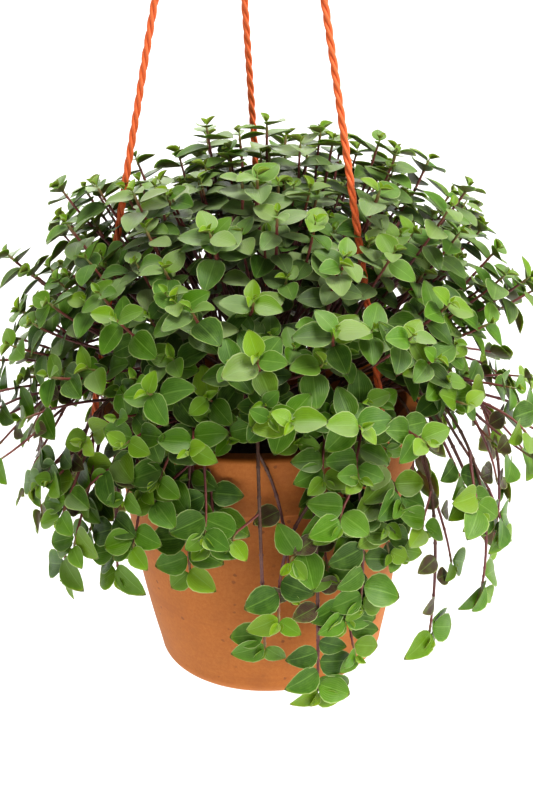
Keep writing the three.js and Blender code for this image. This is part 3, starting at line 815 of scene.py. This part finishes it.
def rope_material(colour):
    """Fine fibres that run slanting along each strand, with a little fuzz."""
    shade = Shader("Twisted rope")
    along, turn = shade.laid()
    lay = shade.maths("ADD", shade.maths("MULTIPLY", along, 5.0), shade.maths("MULTIPLY", turn, 9.0))
    wave = shade.maths("SINE", shade.maths("MULTIPLY", lay, math.tau))
    fibre = shade.maths("MULTIPLY_ADD", wave, 0.5, 0.5)
    fuzz = shade.noise(shade.place(), 700.0, 3.0)
    base = shade.ramp(fibre, (0.0, [c * 0.72 for c in colour]), (1.0, [min(1, c * 1.12) for c in colour]))
    base = shade.blend(shade.maths("MULTIPLY", fuzz, 0.35), base, (0.85, 0.28, 0.12))
    shade.bump(shade.maths("ADD", fibre, fuzz), 0.35, 0.0003)
    return shade.finish(Base_Color=base, Roughness=0.55, Sheen_Weight=0.15)


def leaf_material(settings):
    """Parallel veins, a pale margin and midrib, a purplish underside, colour by age and by leaf, and a
    painted sheen on the upper sides of leaves that face up.
    """
    shade = Shader("Leaf")
    across, along = shade.laid()
    tint, age, under = (shade.attribute(name) for name in ("tint", "age", "under"))
    place = shade.place()
    patches = shade.noise(place, 160.0, 3.0)
    young, mature, old = settings.young_colour, settings.leaf_colour, settings.old_colour
    between = [(a + b) / 2 for a, b in zip(young, mature)]
    base = shade.ramp(age, (0.0, young), (0.3, between), (0.55, mature), (1.0, old))
    base = shade.tinge(base, (0.05, 0.13, 0.03), tint, (0.0, 0.5), (0.45, 0))
    base = shade.tinge(base, (0.26, 0.38, 0.015), tint, (0.8, 0), (1.0, 0.6))
    base = shade.tinge(base, (0.085, 0.022, 0.028), tint, (0.03, 0.85), (0.08, 0))
    base = shade.tinge(base, (0.19, 0.34, 0.05), patches, (0.45, 0), (0.75, 0.33))
    half = shade.maths("ABSOLUTE", shade.maths("SUBTRACT", across, 0.5))
    veins = shade.maths("SINE", shade.maths("MULTIPLY", across, math.tau * 13))
    veins = shade.maths("MULTIPLY_ADD", veins, 0.5, 0.5)
    base = shade.blend(shade.maths("MULTIPLY", veins, 0.09), base, (0.26, 0.4, 0.06))
    base = shade.tinge(base, (0.25, 0.42, 0.08), half, (0.0, 0.5), (0.035, 0))
    base = shade.tinge(base, (0.42, 0.52, 0.2), half, (0.452, 0), (0.492, 0.75))
    base = shade.blend(shade.maths("MULTIPLY", under, 0.8), base, settings.under_colour)
    # Painted sheen: the upper sides of leaves that face upwards are blended towards a pale grey-green, more
    # on some leaves than others, in place of the glint of light from above
    facing = shade.node("ShaderNodeNewGeometry").outputs["Normal"]
    level = shade.node("ShaderNodeSeparateXYZ", None, Vector=facing).outputs["Z"]
    painted_sheen = shade.maths(
        "MULTIPLY",
        shade.ramp(level, (0.55, BLACK), (0.97, grey(1))),
        shade.ramp(tint, (0.2, grey(0.1)), (0.7, grey(0.7))),
    )
    painted_sheen = shade.maths("MULTIPLY", painted_sheen, shade.maths("SUBTRACT", 1.0, under))
    base = shade.blend(painted_sheen, base, (0.34, 0.42, 0.22))
    height = shade.maths("ADD", shade.maths("MULTIPLY", veins, 0.6), shade.maths("MULTIPLY", patches, 0.8))
    shade.bump(height, 0.25, 0.0004)
    rough = shade.maths("MULTIPLY_ADD", shade.noise(place, 90.0, 2.0), 0.3, 0.27)
    return shade.finish(
        Base_Color=base,
        Roughness=rough,
        Specular_IOR_Level=0.32,
        Subsurface_Weight=0.25,
        Subsurface_Radius=(0.7, 1.0, 0.2),
        Subsurface_Scale=0.0015,
    )


def stem_material(settings):
    """Green at the tip, purple where the stem is older and brown at its foot."""
    shade = Shader("Stem")
    age = shade.attribute("age")
    streak = shade.noise(shade.place(), 500.0, 3.0)
    tip, young, foot = (0.2, 0.26, 0.06), (0.24, 0.06, 0.05), (0.09, 0.04, 0.025)
    base = shade.ramp(age, (0.0, tip), (0.12, young), (0.5, settings.stem_colour), (1.0, foot))
    base = shade.tinge(base, (0.26, 0.13, 0.07), streak, (0.4, 0), (0.8, 0.5))
    shade.bump(streak, 0.3, 0.0003)
    return shade.finish(Base_Color=base, Roughness=0.42)


def leaf_half_width(share):
    """Half of a leaf's width at a share of its length, of its greatest half width."""
    return math.sin(math.pi * share**0.72) ** 0.72 * (1 - 0.1 * share**3)


def leaf_blade(name, width, fold, cup, arch, twist, wave, thickness=0.03):
    """A closed leaf blade of length 1 along +Y with its upper side to +Z, in rows and columns."""
    mesh = bmesh.new()
    uv = mesh.loops.layers.uv.new("UVMap")
    under = mesh.verts.layers.float.new("under")
    rows = (0.035, 0.13, 0.28, 0.47, 0.66, 0.83, 0.945)
    columns = (-1, -0.5, 0, 0.5, 1)
    steps = list(zip(range(len(columns) - 1), columns, columns[1:]))

    def position(share, column, lift):
        half = 0.5 * width * leaf_half_width(share)
        x = half * column
        rise = fold * abs(x) + cup * half * column * column - arch * share * share
        rise += wave * math.sin(9 * share + 2 * column) * column * column
        rise += lift * thickness * (1 - column * column) * math.sin(math.pi * min(1, share + 0.15)) ** 0.5
        point = Vector((x, share, rise))
        return Matrix.Rotation(twist * share, 3, "Y") @ point

    def vertex(share, column, lift):
        made = mesh.verts.new(position(share, column, lift))
        made[under] = 1.0 if lift < 0 else 0.0
        return made

    def face(corners, places, flip):
        pairs = list(zip(corners, places))
        if flip:
            pairs.reverse()
        made = mesh.faces.new([corner for corner, _ in pairs])
        for loop, (_, (share, column)) in zip(made.loops, pairs):
            loop[uv].uv = (0.5 + 0.5 * column, share)

    base, tip = vertex(0, 0, 0), vertex(1, 0, 0)
    edges = {(share, column): vertex(share, column, 0) for share in rows for column in (-1, 1)}
    for lift in (1, -1):
        flip = lift < 0
        grid = [[edges.get((row, side)) or vertex(row, side, lift) for side in columns] for row in rows]
        for low, high, near, far in zip(grid, grid[1:], rows, rows[1:]):
            for i, left, right in steps:
                corners = (low[i], low[i + 1], high[i + 1], high[i])
                face(corners, ((near, left), (near, right), (far, right), (far, left)), flip)
        for i, left, right in steps:
            first, last = grid[0], grid[-1]
            face((base, first[i + 1], first[i]), ((0, left), (rows[0], right), (rows[0], left)), flip)
            face((last[i], last[i + 1], tip), ((rows[-1], left), (rows[-1], right), (1, left)), flip)
    bmesh.ops.recalc_face_normals(mesh, faces=mesh.faces)
    rim = {*edges.values(), base, tip}
    for edge in mesh.edges:
        if rim.issuperset(edge.verts):
            edge.smooth = False
    return bpy.data.objects.new(name, finished_mesh(name, mesh))


def leaf_set(settings):
    """The leaf shapes that the shoots draw from: mature ones first, then young curled ones."""
    collection = bpy.data.collections.new("leaf_shapes")
    draw = random_stream(LEAF_SEED)
    for i in range(LEAF_SHAPES):
        leaf = leaf_blade(
            f"leaf_{i}",
            settings.leaf_width * mix(0.92, 1.08, draw()),
            fold=mix(0.08, 0.3, draw()),
            cup=mix(0.0, 0.28, draw()),
            arch=mix(0.04, 0.24, draw()),
            twist=mix(-0.25, 0.25, draw()),
            wave=mix(0.0, 0.014, draw()),
        )
        collection.objects.link(leaf)
    for i in range(YOUNG_SHAPES):
        width = settings.leaf_width * 0.8
        fold = mix(0.55, 0.9, i)
        leaf = leaf_blade(f"young_leaf_{i}", width, fold, cup=0.5, arch=0.1, twist=0.1, wave=0)
        collection.objects.link(leaf)
    return collection


def shoot_tree(leaf_shapes, leaf_finish, stem_finish):
    """Grows tubes along the edges of a skeleton and sets a leaf on each of its loose points."""
    tree = bpy.data.node_groups.new("Leafy shoot", "GeometryNodeTree")
    tree.interface.new_socket("Skeleton", in_out="INPUT", socket_type="NodeSocketGeometry")
    sides = tree.interface.new_socket("Stem Sides", in_out="INPUT", socket_type="NodeSocketInt")
    size = tree.interface.new_socket("Leaf Size", in_out="INPUT", socket_type="NodeSocketFloat")
    tree.interface.new_socket("Shoot", in_out="OUTPUT", socket_type="NodeSocketGeometry")
    add = Wiring(tree).node

    def named(name, kind):
        return add("GeometryNodeInputNamedAttribute", {"data_type": kind}, Name=name).outputs["Attribute"]

    start = add("NodeGroupInput").outputs
    is_leaf = named("is_leaf", "BOOLEAN")
    parts = add(
        "GeometryNodeSeparateGeometry", {"domain": "POINT"}, Geometry=start["Skeleton"], Selection=is_leaf
    ).outputs

    shapes = add(
        "GeometryNodeCollectionInfo",
        None,
        Collection=leaf_shapes,
        Separate_Children=True,
        Reset_Children=True,
    ).outputs["Instances"]
    angles = named("turn", "FLOAT_VECTOR")
    turned = add("FunctionNodeEulerToRotation", None, Euler=angles).outputs["Rotation"]
    scale = Wiring(tree).maths("MULTIPLY", named("size", "FLOAT"), start["Leaf Size"])
    leaves = add(
        "GeometryNodeInstanceOnPoints",
        None,
        Points=parts["Selection"],
        Instance=shapes,
        Pick_Instance=True,
        Instance_Index=named("shape", "INT"),
        Rotation=turned,
        Scale=scale,
    ).outputs["Instances"]
    leaves = add("GeometryNodeRealizeInstances", None, Geometry=leaves).outputs["Geometry"]
    leaves = add("GeometryNodeSetMaterial", None, Geometry=leaves, Material=leaf_finish).outputs["Geometry"]

    lines = add("GeometryNodeMeshToCurve", None, Mesh=parts["Inverted"]).outputs["Curve"]
    ring = add("GeometryNodeCurvePrimitiveCircle", None, Resolution=start["Stem Sides"], Radius=1.0)
    tubes = add(
        "GeometryNodeCurveToMesh",
        None,
        Curve=lines,
        Profile_Curve=ring.outputs["Curve"],
        Scale=named("thick", "FLOAT"),
        Fill_Caps=True,
    ).outputs["Mesh"]
    tubes = add("GeometryNodeSetShadeSmooth", None, Geometry=tubes).outputs["Geometry"]
    tubes = add("GeometryNodeSetMaterial", None, Geometry=tubes, Material=stem_finish).outputs["Geometry"]

    joined = add("GeometryNodeJoinGeometry")
    for part in (tubes, leaves):
        tree.links.new(part, joined.inputs["Geometry"])
    add("NodeGroupOutput", None, Shoot=joined.outputs["Geometry"])
    return tree, {sides.identifier: STEM_SIDES, size.identifier: 1.0}


def stem_rings(plan):
    """Distances from the tip at which a stem has a point, with its thickness there."""
    path, length = plan["path"], plan["path"].length
    joints = [distance * plan["spacing"] for distance, _, _ in LEAVES[: plan["leaves"]] if distance > 4]
    joints += [joints[-1] + LEAF_GAP * i for i in range(1, 12)]
    joints = [joint for joint in joints if joint < length - 4]
    # A narrow tip, and a swelling at each joint
    rings = [(0.0, 0.35), (1.2, 0.55), (length, 1.0)]
    for joint in joints:
        rings += [(joint - 1.1, 1.0), (joint, 1.28), (joint + 1.4, STEM_WAIST)]
    rings.sort()
    filled = [rings[0]]
    for ring in rings[1:]:
        gap = ring[0] - filled[-1][0]
        if gap < RING_GAPS[0]:
            continue
        pieces = math.ceil(gap / RING_GAPS[1])
        last = filled[-1]
        for i in range(1, pieces + 1):
            share = i / pieces
            between = mix(last[1], ring[1], share) if pieces < 2 else STEM_WAIST
            swell = ring[1] if i == pieces else between
            filled.append((mix(last[0], ring[0], share), swell))
    return filled


def skeleton(name, stems, clearance, settings, seed):
    """Stem lines and leaf points of a clump as one mesh, with what each point carries."""
    draw = random_stream(seed)
    points, edges = [], []
    plain = {
        "is_leaf": False,
        "thick": 0.0,
        "size": 0.0,
        "tint": 0.0,
        "age": 0.0,
        "shape": 0,
        "turn": (0, 0, 0),
    }
    data = {key: [] for key in plain}

    def point(place, **values):
        points.append(in_row(place))
        for key, value in {**plain, **values}.items():
            data[key].append(value)

    for plan in stems:
        path = plan["path"]
        first = len(points)
        # The stem's own line
        radius = settings.stem_radius / MM * mix(0.85, 1.1, draw())
        for distance, swell in stem_rings(plan):
            taper = mix(0.72, 1.0, smooth_step(distance, 0, 60))
            place, _ = path.at(1 - distance / path.length)
            point(place, thick=radius * taper * swell * MM, age=min(1, distance / 90))
        edges += [(i, i + 1) for i in range(first, len(points) - 1)]
        # Its leaves, from the tip down
        leaves = LEAVES[: plan["leaves"]]
        if plan["hanging"]:
            leaves = leaves + [(leaves[-1][0] + LEAF_GAP * i, 15, 95) for i in range(1, 5)]
        for rank, (distance, length, opening) in enumerate(leaves):
            distance *= plan["spacing"]
            purple = rank >= plan["leaves"]
            if distance > path.length * 0.72:
                break
            angle = rank * LEAF_TURN + mix(-0.35, 0.35, draw())
            opening = math.radians(opening + mix(-9, 9, draw()))
            size = length * plan["vigour"] * mix(0.86, 1.12, draw()) * settings.leaf_length / FULL_LEAF
            tint, shape = draw(), draw()
            if purple and tint > 0.5:
                continue
            tint = 0 if purple else mix(0.1, 1, tint)
            root, direction, facing = leaf_place(plan, distance, angle, opening)
            sway = Matrix.Rotation(mix(-0.3, 0.3, draw()), 3, direction)
            facing = sway @ facing
            if rank >= YOUNG_RANKS and not clearance.takes(root, direction, facing, size):
                continue
            turn = Matrix((direction.cross(facing), direction, facing)).transposed().to_euler()
            young = rank < YOUNG_RANKS
            kind = LEAF_SHAPES + int(shape * YOUNG_SHAPES) if young else int(shape * LEAF_SHAPES)
            age = min(1, max(0, (rank / 8) ** 0.8 + plan["old"] + mix(-0.1, 0.1, draw())))
            point(root, is_leaf=True, size=size * MM, tint=tint, age=age, shape=kind, turn=turn)
    mesh = bpy.data.meshes.new(name)
    mesh.from_pydata(points, edges, [])
    kinds = {"is_leaf": "BOOLEAN", "shape": "INT", "turn": "FLOAT_VECTOR"}
    for key, values in data.items():
        attribute = mesh.attributes.new(key, kinds.get(key, "FLOAT"), "POINT")
        if key == "turn":
            attribute.data.foreach_set("vector", [c for value in values for c in value])
        else:
            attribute.data.foreach_set("value", values)
    return new_object(name, mesh)


def grown(source, name, tree, values):
    """The skeleton with its leaves and tubes as a plain mesh of that name."""
    modifier = source.modifiers.new("Shoot", "NODES")
    modifier.node_group = tree
    for identifier, value in values.items():
        modifier[identifier] = value
    depsgraph = bpy.context.evaluated_depsgraph_get()
    data = bpy.data.meshes.new_from_object(source.evaluated_get(depsgraph), depsgraph=depsgraph)
    source.modifiers.clear()
    bpy.data.objects.remove(source)
    data.name = name
    for spare in ("is_leaf", "thick", "size", "shape", "turn"):
        if spare in data.attributes:
            data.attributes.remove(data.attributes[spare])
    return new_object(name, data)


def settle(piece, slot, *nodes):
    """Hangs a finished piece on the part, in place of the plain solids."""
    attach(piece, "root")
    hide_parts(*nodes)


class VineStage(bpy.types.PropertyGroup):
    floor_drop: bpy.props.FloatProperty(
        name="Floor Drop",
        description="Height of the pot's foot above the floor",
        default=0.9,
        unit="LENGTH",
    )
    brightness: bpy.props.FloatProperty(
        name="Brightness", description="Strength of the surrounding light", default=0.27
    )


class VineRope(bpy.types.PropertyGroup):
    pitch: bpy.props.FloatProperty(
        name="Pitch", description="Length of one turn of the strands", default=0.03, unit="LENGTH"
    )
    colour: bpy.props.FloatVectorProperty(
        name="Colour",
        description="Colour of the rope's fibres",
        subtype="COLOR",
        default=(0.88, 0.15, 0.02),
    )


class VinePot(bpy.types.PropertyGroup):
    clay_colour: bpy.props.FloatVectorProperty(
        name="Clay Colour",
        description="Colour of the fired clay",
        subtype="COLOR",
        default=(0.5, 0.155, 0.021),
    )
    soil_colour: bpy.props.FloatVectorProperty(
        name="Soil Colour",
        description="Colour of the damp soil",
        subtype="COLOR",
        default=(0.05, 0.028, 0.017),
    )


class VineShoots(bpy.types.PropertyGroup):
    leaf_length: bpy.props.FloatProperty(
        name="Leaf Length", description="Length of a full-grown leaf", default=FULL_LEAF, unit="LENGTH"
    )
    leaf_width: bpy.props.FloatProperty(
        name="Leaf Width",
        description="Width of a leaf as a share of its length",
        default=0.8,
        subtype="FACTOR",
    )
    stem_radius: bpy.props.FloatProperty(
        name="Stem Radius", description="Radius of a full-grown stem", default=0.00112, unit="LENGTH"
    )
    crown_extra: bpy.props.IntProperty(
        name="Crown Side Shoots", description="Side shoots of each crown clump", default=9
    )
    trail_extra: bpy.props.IntProperty(
        name="Trailing Side Shoots", description="Side shoots of each trailing clump", default=5
    )
    young_colour: bpy.props.FloatVectorProperty(
        name="Young Leaf",
        description="Colour of the leaves at the tips",
        subtype="COLOR",
        default=(0.27, 0.42, 0.01),
    )
    leaf_colour: bpy.props.FloatVectorProperty(
        name="Leaf",
        description="Colour of full-grown leaves",
        subtype="COLOR",
        default=(0.085, 0.21, 0.004),
    )
    old_colour: bpy.props.FloatVectorProperty(
        name="Old Leaf",
        description="Colour of the oldest leaves",
        subtype="COLOR",
        default=(0.035, 0.085, 0.003),
    )
    under_colour: bpy.props.FloatVectorProperty(
        name="Underside",
        description="Colour of the leaves' undersides",
        subtype="COLOR",
        default=(0.13, 0.1, 0.04),
    )
    stem_colour: bpy.props.FloatVectorProperty(
        name="Stem", description="Colour of grown stems", subtype="COLOR", default=(0.15, 0.045, 0.05)
    )


class VINE_OT_stage(bpy.types.Operator):
    """Make the camera, the lights and the pale floor"""

    bl_idname = "vine.stage"
    bl_label = "Stage"

    def execute(self, context):
        scene = context.scene
        scene.camera = self.camera()
        scene.world = self.surroundings(scene.vine_stage.brightness)
        scene.view_settings.view_transform = "Standard"
        scene.view_settings.look = "Medium High Contrast"
        for name, (towards, strength, angle) in SUNS.items():
            self.sun(name, towards, strength, angle)
        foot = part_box("pot")[0][2]
        level = foot - scene.vine_stage.floor_drop
        signs = ((-1, -1), (1, -1), (1, 1), (-1, 1))
        corners = [(x * FLOOR_REACH, y * FLOOR_REACH, level) for x, y in signs]
        mesh = bpy.data.meshes.new("floor")
        mesh.from_pydata(corners, [], [(0, 1, 2, 3)])
        floor = new_object("floor", mesh)
        shade = Shader("Pale floor")
        floor.data.materials.append(shade.finish(Base_Color=(0.93, 0.93, 0.93, 1), Roughness=0.9))
        return {"FINISHED"}

    @staticmethod
    def camera():
        """The camera of the photograph, tipped down by its pitch and turned by its roll."""
        up = Vector((0, math.sin(CAMERA_PITCH), math.cos(CAMERA_PITCH)))
        forward = Vector((0, math.cos(CAMERA_PITCH), -math.sin(CAMERA_PITCH)))
        right = Vector((1, 0, 0)) * math.cos(CAMERA_ROLL) - up * math.sin(CAMERA_ROLL)
        above = Vector((1, 0, 0)) * math.sin(CAMERA_ROLL) + up * math.cos(CAMERA_ROLL)
        data = bpy.data.cameras.new("camera")
        data.lens = CAMERA_LENS
        data.sensor_width = SENSOR_WIDTH
        data.clip_end = CAMERA_SIGHT
        camera = bpy.data.objects.new("camera", data)
        turn = Matrix((right, above, -forward)).transposed().to_4x4()
        camera.matrix_world = Matrix.Translation(in_row(CAMERA_PLACE)) @ turn
        bpy.context.scene.collection.objects.link(camera)
        return camera

    @staticmethod
    def surroundings(brightness):
        """A white world that looks brighter to the camera than it shines on the pieces."""
        world = bpy.data.worlds.new("surroundings")
        world.use_nodes = True
        wiring = Wiring(world.node_tree)
        seen = wiring.node("ShaderNodeLightPath").outputs["Is Camera Ray"]
        level = wiring.node("ShaderNodeMapRange", None, Value=seen, To_Min=brightness, To_Max=1.0)
        background = world.node_tree.nodes["Background"]
        background.inputs["Color"].default_value = (1, 1, 1, 1)
        wiring.join(level.outputs["Result"], background.inputs["Strength"])
        return world

    @staticmethod
    def sun(name, towards, strength, angle):
        """A far soft light, by the direction in which it stands and its width in degrees."""
        data = bpy.data.lights.new(name, "SUN")
        data.energy = strength
        data.angle = math.radians(angle)
        lamp = bpy.data.objects.new(name, data)
        lamp.matrix_world = Vector(towards).to_track_quat("Z", "Y").to_matrix().to_4x4()
        bpy.context.scene.collection.objects.link(lamp)


class VINE_OT_ropes(bpy.types.Operator):
    """Lay the three ropes, the knots at their ends and the loop that they hang from"""

    bl_idname = "vine.ropes"
    bl_label = "Ropes"

    def execute(self, context):
        settings = context.scene.vine_rope
        finish = rope_material(settings.colour)
        pitch = settings.pitch / MM
        for side, route in ROPE_ROUTES.items():
            line, length = smooth_line(rope_points(route))
            rope = twisted_rope(f"twisted_rope_{side}", line, pitch=pitch)
            rope.data.materials.append(finish)
            settle(rope, "rope", f"rope_{side}")
            knot = self.stop_knot(side, line[-1])
            knot.data.materials.append(finish)
            settle(knot, "rope", f"stop_knot_{side}")
            in_row(line[-1])
            [in_row(p) for p in reversed(line)]
        for piece, node in ((self.gather_knot(pitch), "gather_knot"), (self.loop(pitch), "hang_loop")):
            piece.data.materials.append(finish)
            settle(piece, "rope", node)
        return {"FINISHED"}

    @staticmethod
    def stop_knot(side, end):
        """An overhand knot drawn tight inside the collar."""
        bearing = math.atan2(end.y, end.x)
        centre = around(bearing, math.hypot(end.x, end.y) - STOP_KNOT_SEAT, end.z)
        out = around(bearing, 1, 0)
        up = Vector((0, 0, 1))
        across = up.cross(out)
        line = []
        for i in range(STOP_KNOT_STEPS + 1):
            t = math.tau * i / STOP_KNOT_STEPS
            u = STOP_KNOT_SIZE * (math.sin(t) + 2 * math.sin(2 * t))
            v = STOP_KNOT_SIZE * (math.cos(t) - 2 * math.cos(2 * t))
            line.append(centre + across * u + up * v - out * (STOP_KNOT_DEPTH * math.sin(3 * t)))
        return twisted_rope(f"overhand_knot_{side}", line, radius=STOP_KNOT_RADIUS, pitch=STOP_KNOT_PITCH)

    @staticmethod
    def gather_knot(pitch):
        """Turns of rope wound round the three ropes where they meet."""
        low = GATHER_KNOT_FOOT + ROPE_RADIUS + 0.1
        high = GATHER_KNOT_FOOT + GATHER_KNOT_HEIGHT - ROPE_RADIUS - 0.1
        turned = math.tau * GATHER_KNOT_TURNS
        steps = TURN_STEPS * GATHER_KNOT_TURNS
        shares = [i / steps for i in range(steps + 1)]
        line = [around(turned * share, GATHER_KNOT_RADIUS, mix(low, high, share)) for share in shares]
        line.append(around(turned + 0.5, 6.0, high))
        return twisted_rope("wound_knot", line, pitch=pitch)

    @staticmethod
    def loop(pitch):
        """The loop above the gather knot, with its feet inside the knot."""
        foot = GATHER_KNOT_FOOT + GATHER_KNOT_HEIGHT + 0.3
        right = [Vector((x, 0, foot + z)) for x, z in LOOP_HALF]
        left = [Vector((-p.x, 0, p.z)) for p in reversed(right)]
        top = Vector((0, 0, foot + LOOP_HEIGHT - ROPE_RADIUS))
        line, _ = smooth_line([*right, top, *left])
        return twisted_rope("rope_loop", line, pitch=pitch)


class VINE_OT_pot(bpy.types.Operator):
    """Turn the collared clay pot, with its drain hole and the holes for the ropes"""

    bl_idname = "vine.pot"
    bl_label = "Pot"

    def execute(self, context):
        foot = FOOT_ROUNDING - POT_HEIGHT
        flat = body_radius(foot) - FOOT_ROUNDING
        profile = [(DRAIN_RADIUS, 1.0 - POT_HEIGHT), (DRAIN_RADIUS + 1, -POT_HEIGHT)]
        profile += arc((flat, foot), FOOT_ROUNDING, -90, -4, 10)
        profile += [(body_radius(z), z) for z in range(-170, -44, 9)]
        profile += [(BODY_TOP_RADIUS, -COLLAR_HEIGHT - 0.6), (BODY_TOP_RADIUS + 0.6, -COLLAR_HEIGHT)]
        rounding = (COLLAR_FOOT_RADIUS - COLLAR_ROUNDING, COLLAR_ROUNDING - COLLAR_HEIGHT)
        profile += arc(rounding, COLLAR_ROUNDING, -90, -4, 5)
        profile += [(outside_radius(z), z) for z in (-36, -30, -24, -18, -12, -7)]
        profile += arc((RIM_RADIUS - RIM_ROUNDING - 0.4, -RIM_ROUNDING), RIM_ROUNDING, 5, 90, 7)
        inner = RIM_RADIUS - COLLAR_WALL
        profile += arc((inner + RIM_ROUNDING, -RIM_ROUNDING), RIM_ROUNDING, 90, 175, 7)
        heights = [-8, -14, SOIL_EDGE, -60, -105, -150, POT_WALL - POT_HEIGHT]
        profile += [(inside_radius(z), z) for z in heights]
        profile += [(DRAIN_RADIUS, POT_WALL - POT_HEIGHT)]
        pot = lathe("clay_pot", profile)
        for route in ROPE_ROUTES.values():
            self.bore(pot, math.atan2(route[-1][1], route[-1][0]))
        pot.data.materials.append(clay_material(context.scene.vine_pot.clay_colour))
        settle(pot, "terracotta", "pot")
        return {"FINISHED"}

    @staticmethod
    def bore(pot, bearing):
        """Cuts a rope's hole through the collar."""
        mesh = bmesh.new()
        bmesh.ops.create_cone(
            mesh,
            cap_ends=True,
            segments=24,
            radius1=ROPE_HOLE_RADIUS * MM,
            radius2=ROPE_HOLE_RADIUS * MM,
            depth=3 * COLLAR_WALL * MM,
        )
        middle = in_row(around(bearing, RIM_RADIUS - COLLAR_WALL / 2, ROPE_HOLE_HEIGHT))
        turn = Matrix.Rotation(bearing, 4, "Z") @ Matrix.Rotation(math.pi / 2, 4, "Y")
        mesh.transform(Matrix.Translation(middle) @ turn)
        cutter = new_object("bore", finished_mesh("bore", mesh))
        modifier = pot.modifiers.new("Bore", "BOOLEAN")
        modifier.operation = "DIFFERENCE"
        modifier.object = cutter
        modifier.solver = "EXACT"
        depsgraph = bpy.context.evaluated_depsgraph_get()
        cut = bpy.data.meshes.new_from_object(pot.evaluated_get(depsgraph), depsgraph=depsgraph)
        pot.modifiers.clear()
        pot.data = cut
        bpy.data.objects.remove(cutter)


class VINE_OT_soil(bpy.types.Operator):
    """Fill the pot with crumbly soil"""

    bl_idname = "vine.soil"
    bl_label = "Soil"

    def execute(self, context):
        floor = POT_WALL - POT_HEIGHT + SEAT_GAP
        edge = inside_radius(SOIL_EDGE) - SEAT_GAP
        profile = [(0, floor)]
        profile += [(inside_radius(z) - SEAT_GAP, z) for z in (floor, -150, -105, -60)]
        radii = [edge * (1 - i / SOIL_RINGS) for i in range(SOIL_RINGS)]
        profile += [(radius, soil_height(radius)) for radius in radii]
        profile.append((0, soil_height(0)))
        soil = lathe("potting_soil", profile, SOIL_SIDES)
        for vertex in soil.data.vertices:
            place = (vertex.co - RIM) / MM
            if place.z > SOIL_EDGE - 1:
                fade = smooth_step(edge - math.hypot(place.x, place.y), 0, 4)
                lift = noise.fractal(Vector((place.x, place.y, 0)) * 0.09, 0.8, 2.1, 5)
                vertex.co.z += SOIL_LUMPS * MM * lift * fade
        soil.data.materials.append(soil_material(context.scene.vine_pot.soil_colour))
        settle(soil, "potting_soil", "soil")
        return {"FINISHED"}


class VINE_OT_shoots(bpy.types.Operator):
    """Grow the shoots of the crown and those that trail over the rim"""

    bl_idname = "vine.shoots"
    bl_label = "Shoots"

    def execute(self, context):
        settings = context.scene.vine_shoots
        tree, values = shoot_tree(leaf_set(settings), leaf_material(settings), stem_material(settings))
        clearance = Clearance()
        clumps = plan_clumps(settings.crown_extra, settings.trail_extra)
        for i, (node, stems) in enumerate(clumps.items()):
            source = skeleton("skeleton", stems, clearance, settings, CLUMP_SEED + i)
            piece = grown(source, f"vine_{node}", tree, values)
            settle(piece, "foliage", node)
        return {"FINISHED"}


class VINE_PT_panel(bpy.types.Panel):
    """Lists the steps that make the hanging vine"""

    bl_idname = "VINE_PT_panel"
    bl_label = "Turtle Vine"
    bl_space_type = "VIEW_3D"
    bl_region_type = "UI"
    bl_category = "Vine"

    def draw(self, context):
        for operator in OPERATORS:
            self.layout.operator(operator.bl_idname)


SETTINGS = {"vine_stage": VineStage, "vine_rope": VineRope, "vine_pot": VinePot, "vine_shoots": VineShoots}
OPERATORS = [VINE_OT_stage, VINE_OT_ropes, VINE_OT_pot, VINE_OT_soil, VINE_OT_shoots]


def register():
    for cls in [*SETTINGS.values(), *OPERATORS, VINE_PT_panel]:
        bpy.utils.register_class(cls)
    for name, cls in SETTINGS.items():
        setattr(bpy.types.Scene, name, bpy.props.PointerProperty(type=cls))


def unregister():
    for name in SETTINGS:
        delattr(bpy.types.Scene, name)
    for cls in [*SETTINGS.values(), *OPERATORS, VINE_PT_panel]:
        bpy.utils.unregister_class(cls)


def main():
    register()
    bpy.ops.vine.stage()
    bpy.ops.vine.ropes()
    bpy.ops.vine.pot()
    bpy.ops.vine.soil()
    bpy.ops.vine.shoots()
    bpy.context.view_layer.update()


if __name__ == "__main__":
    main()
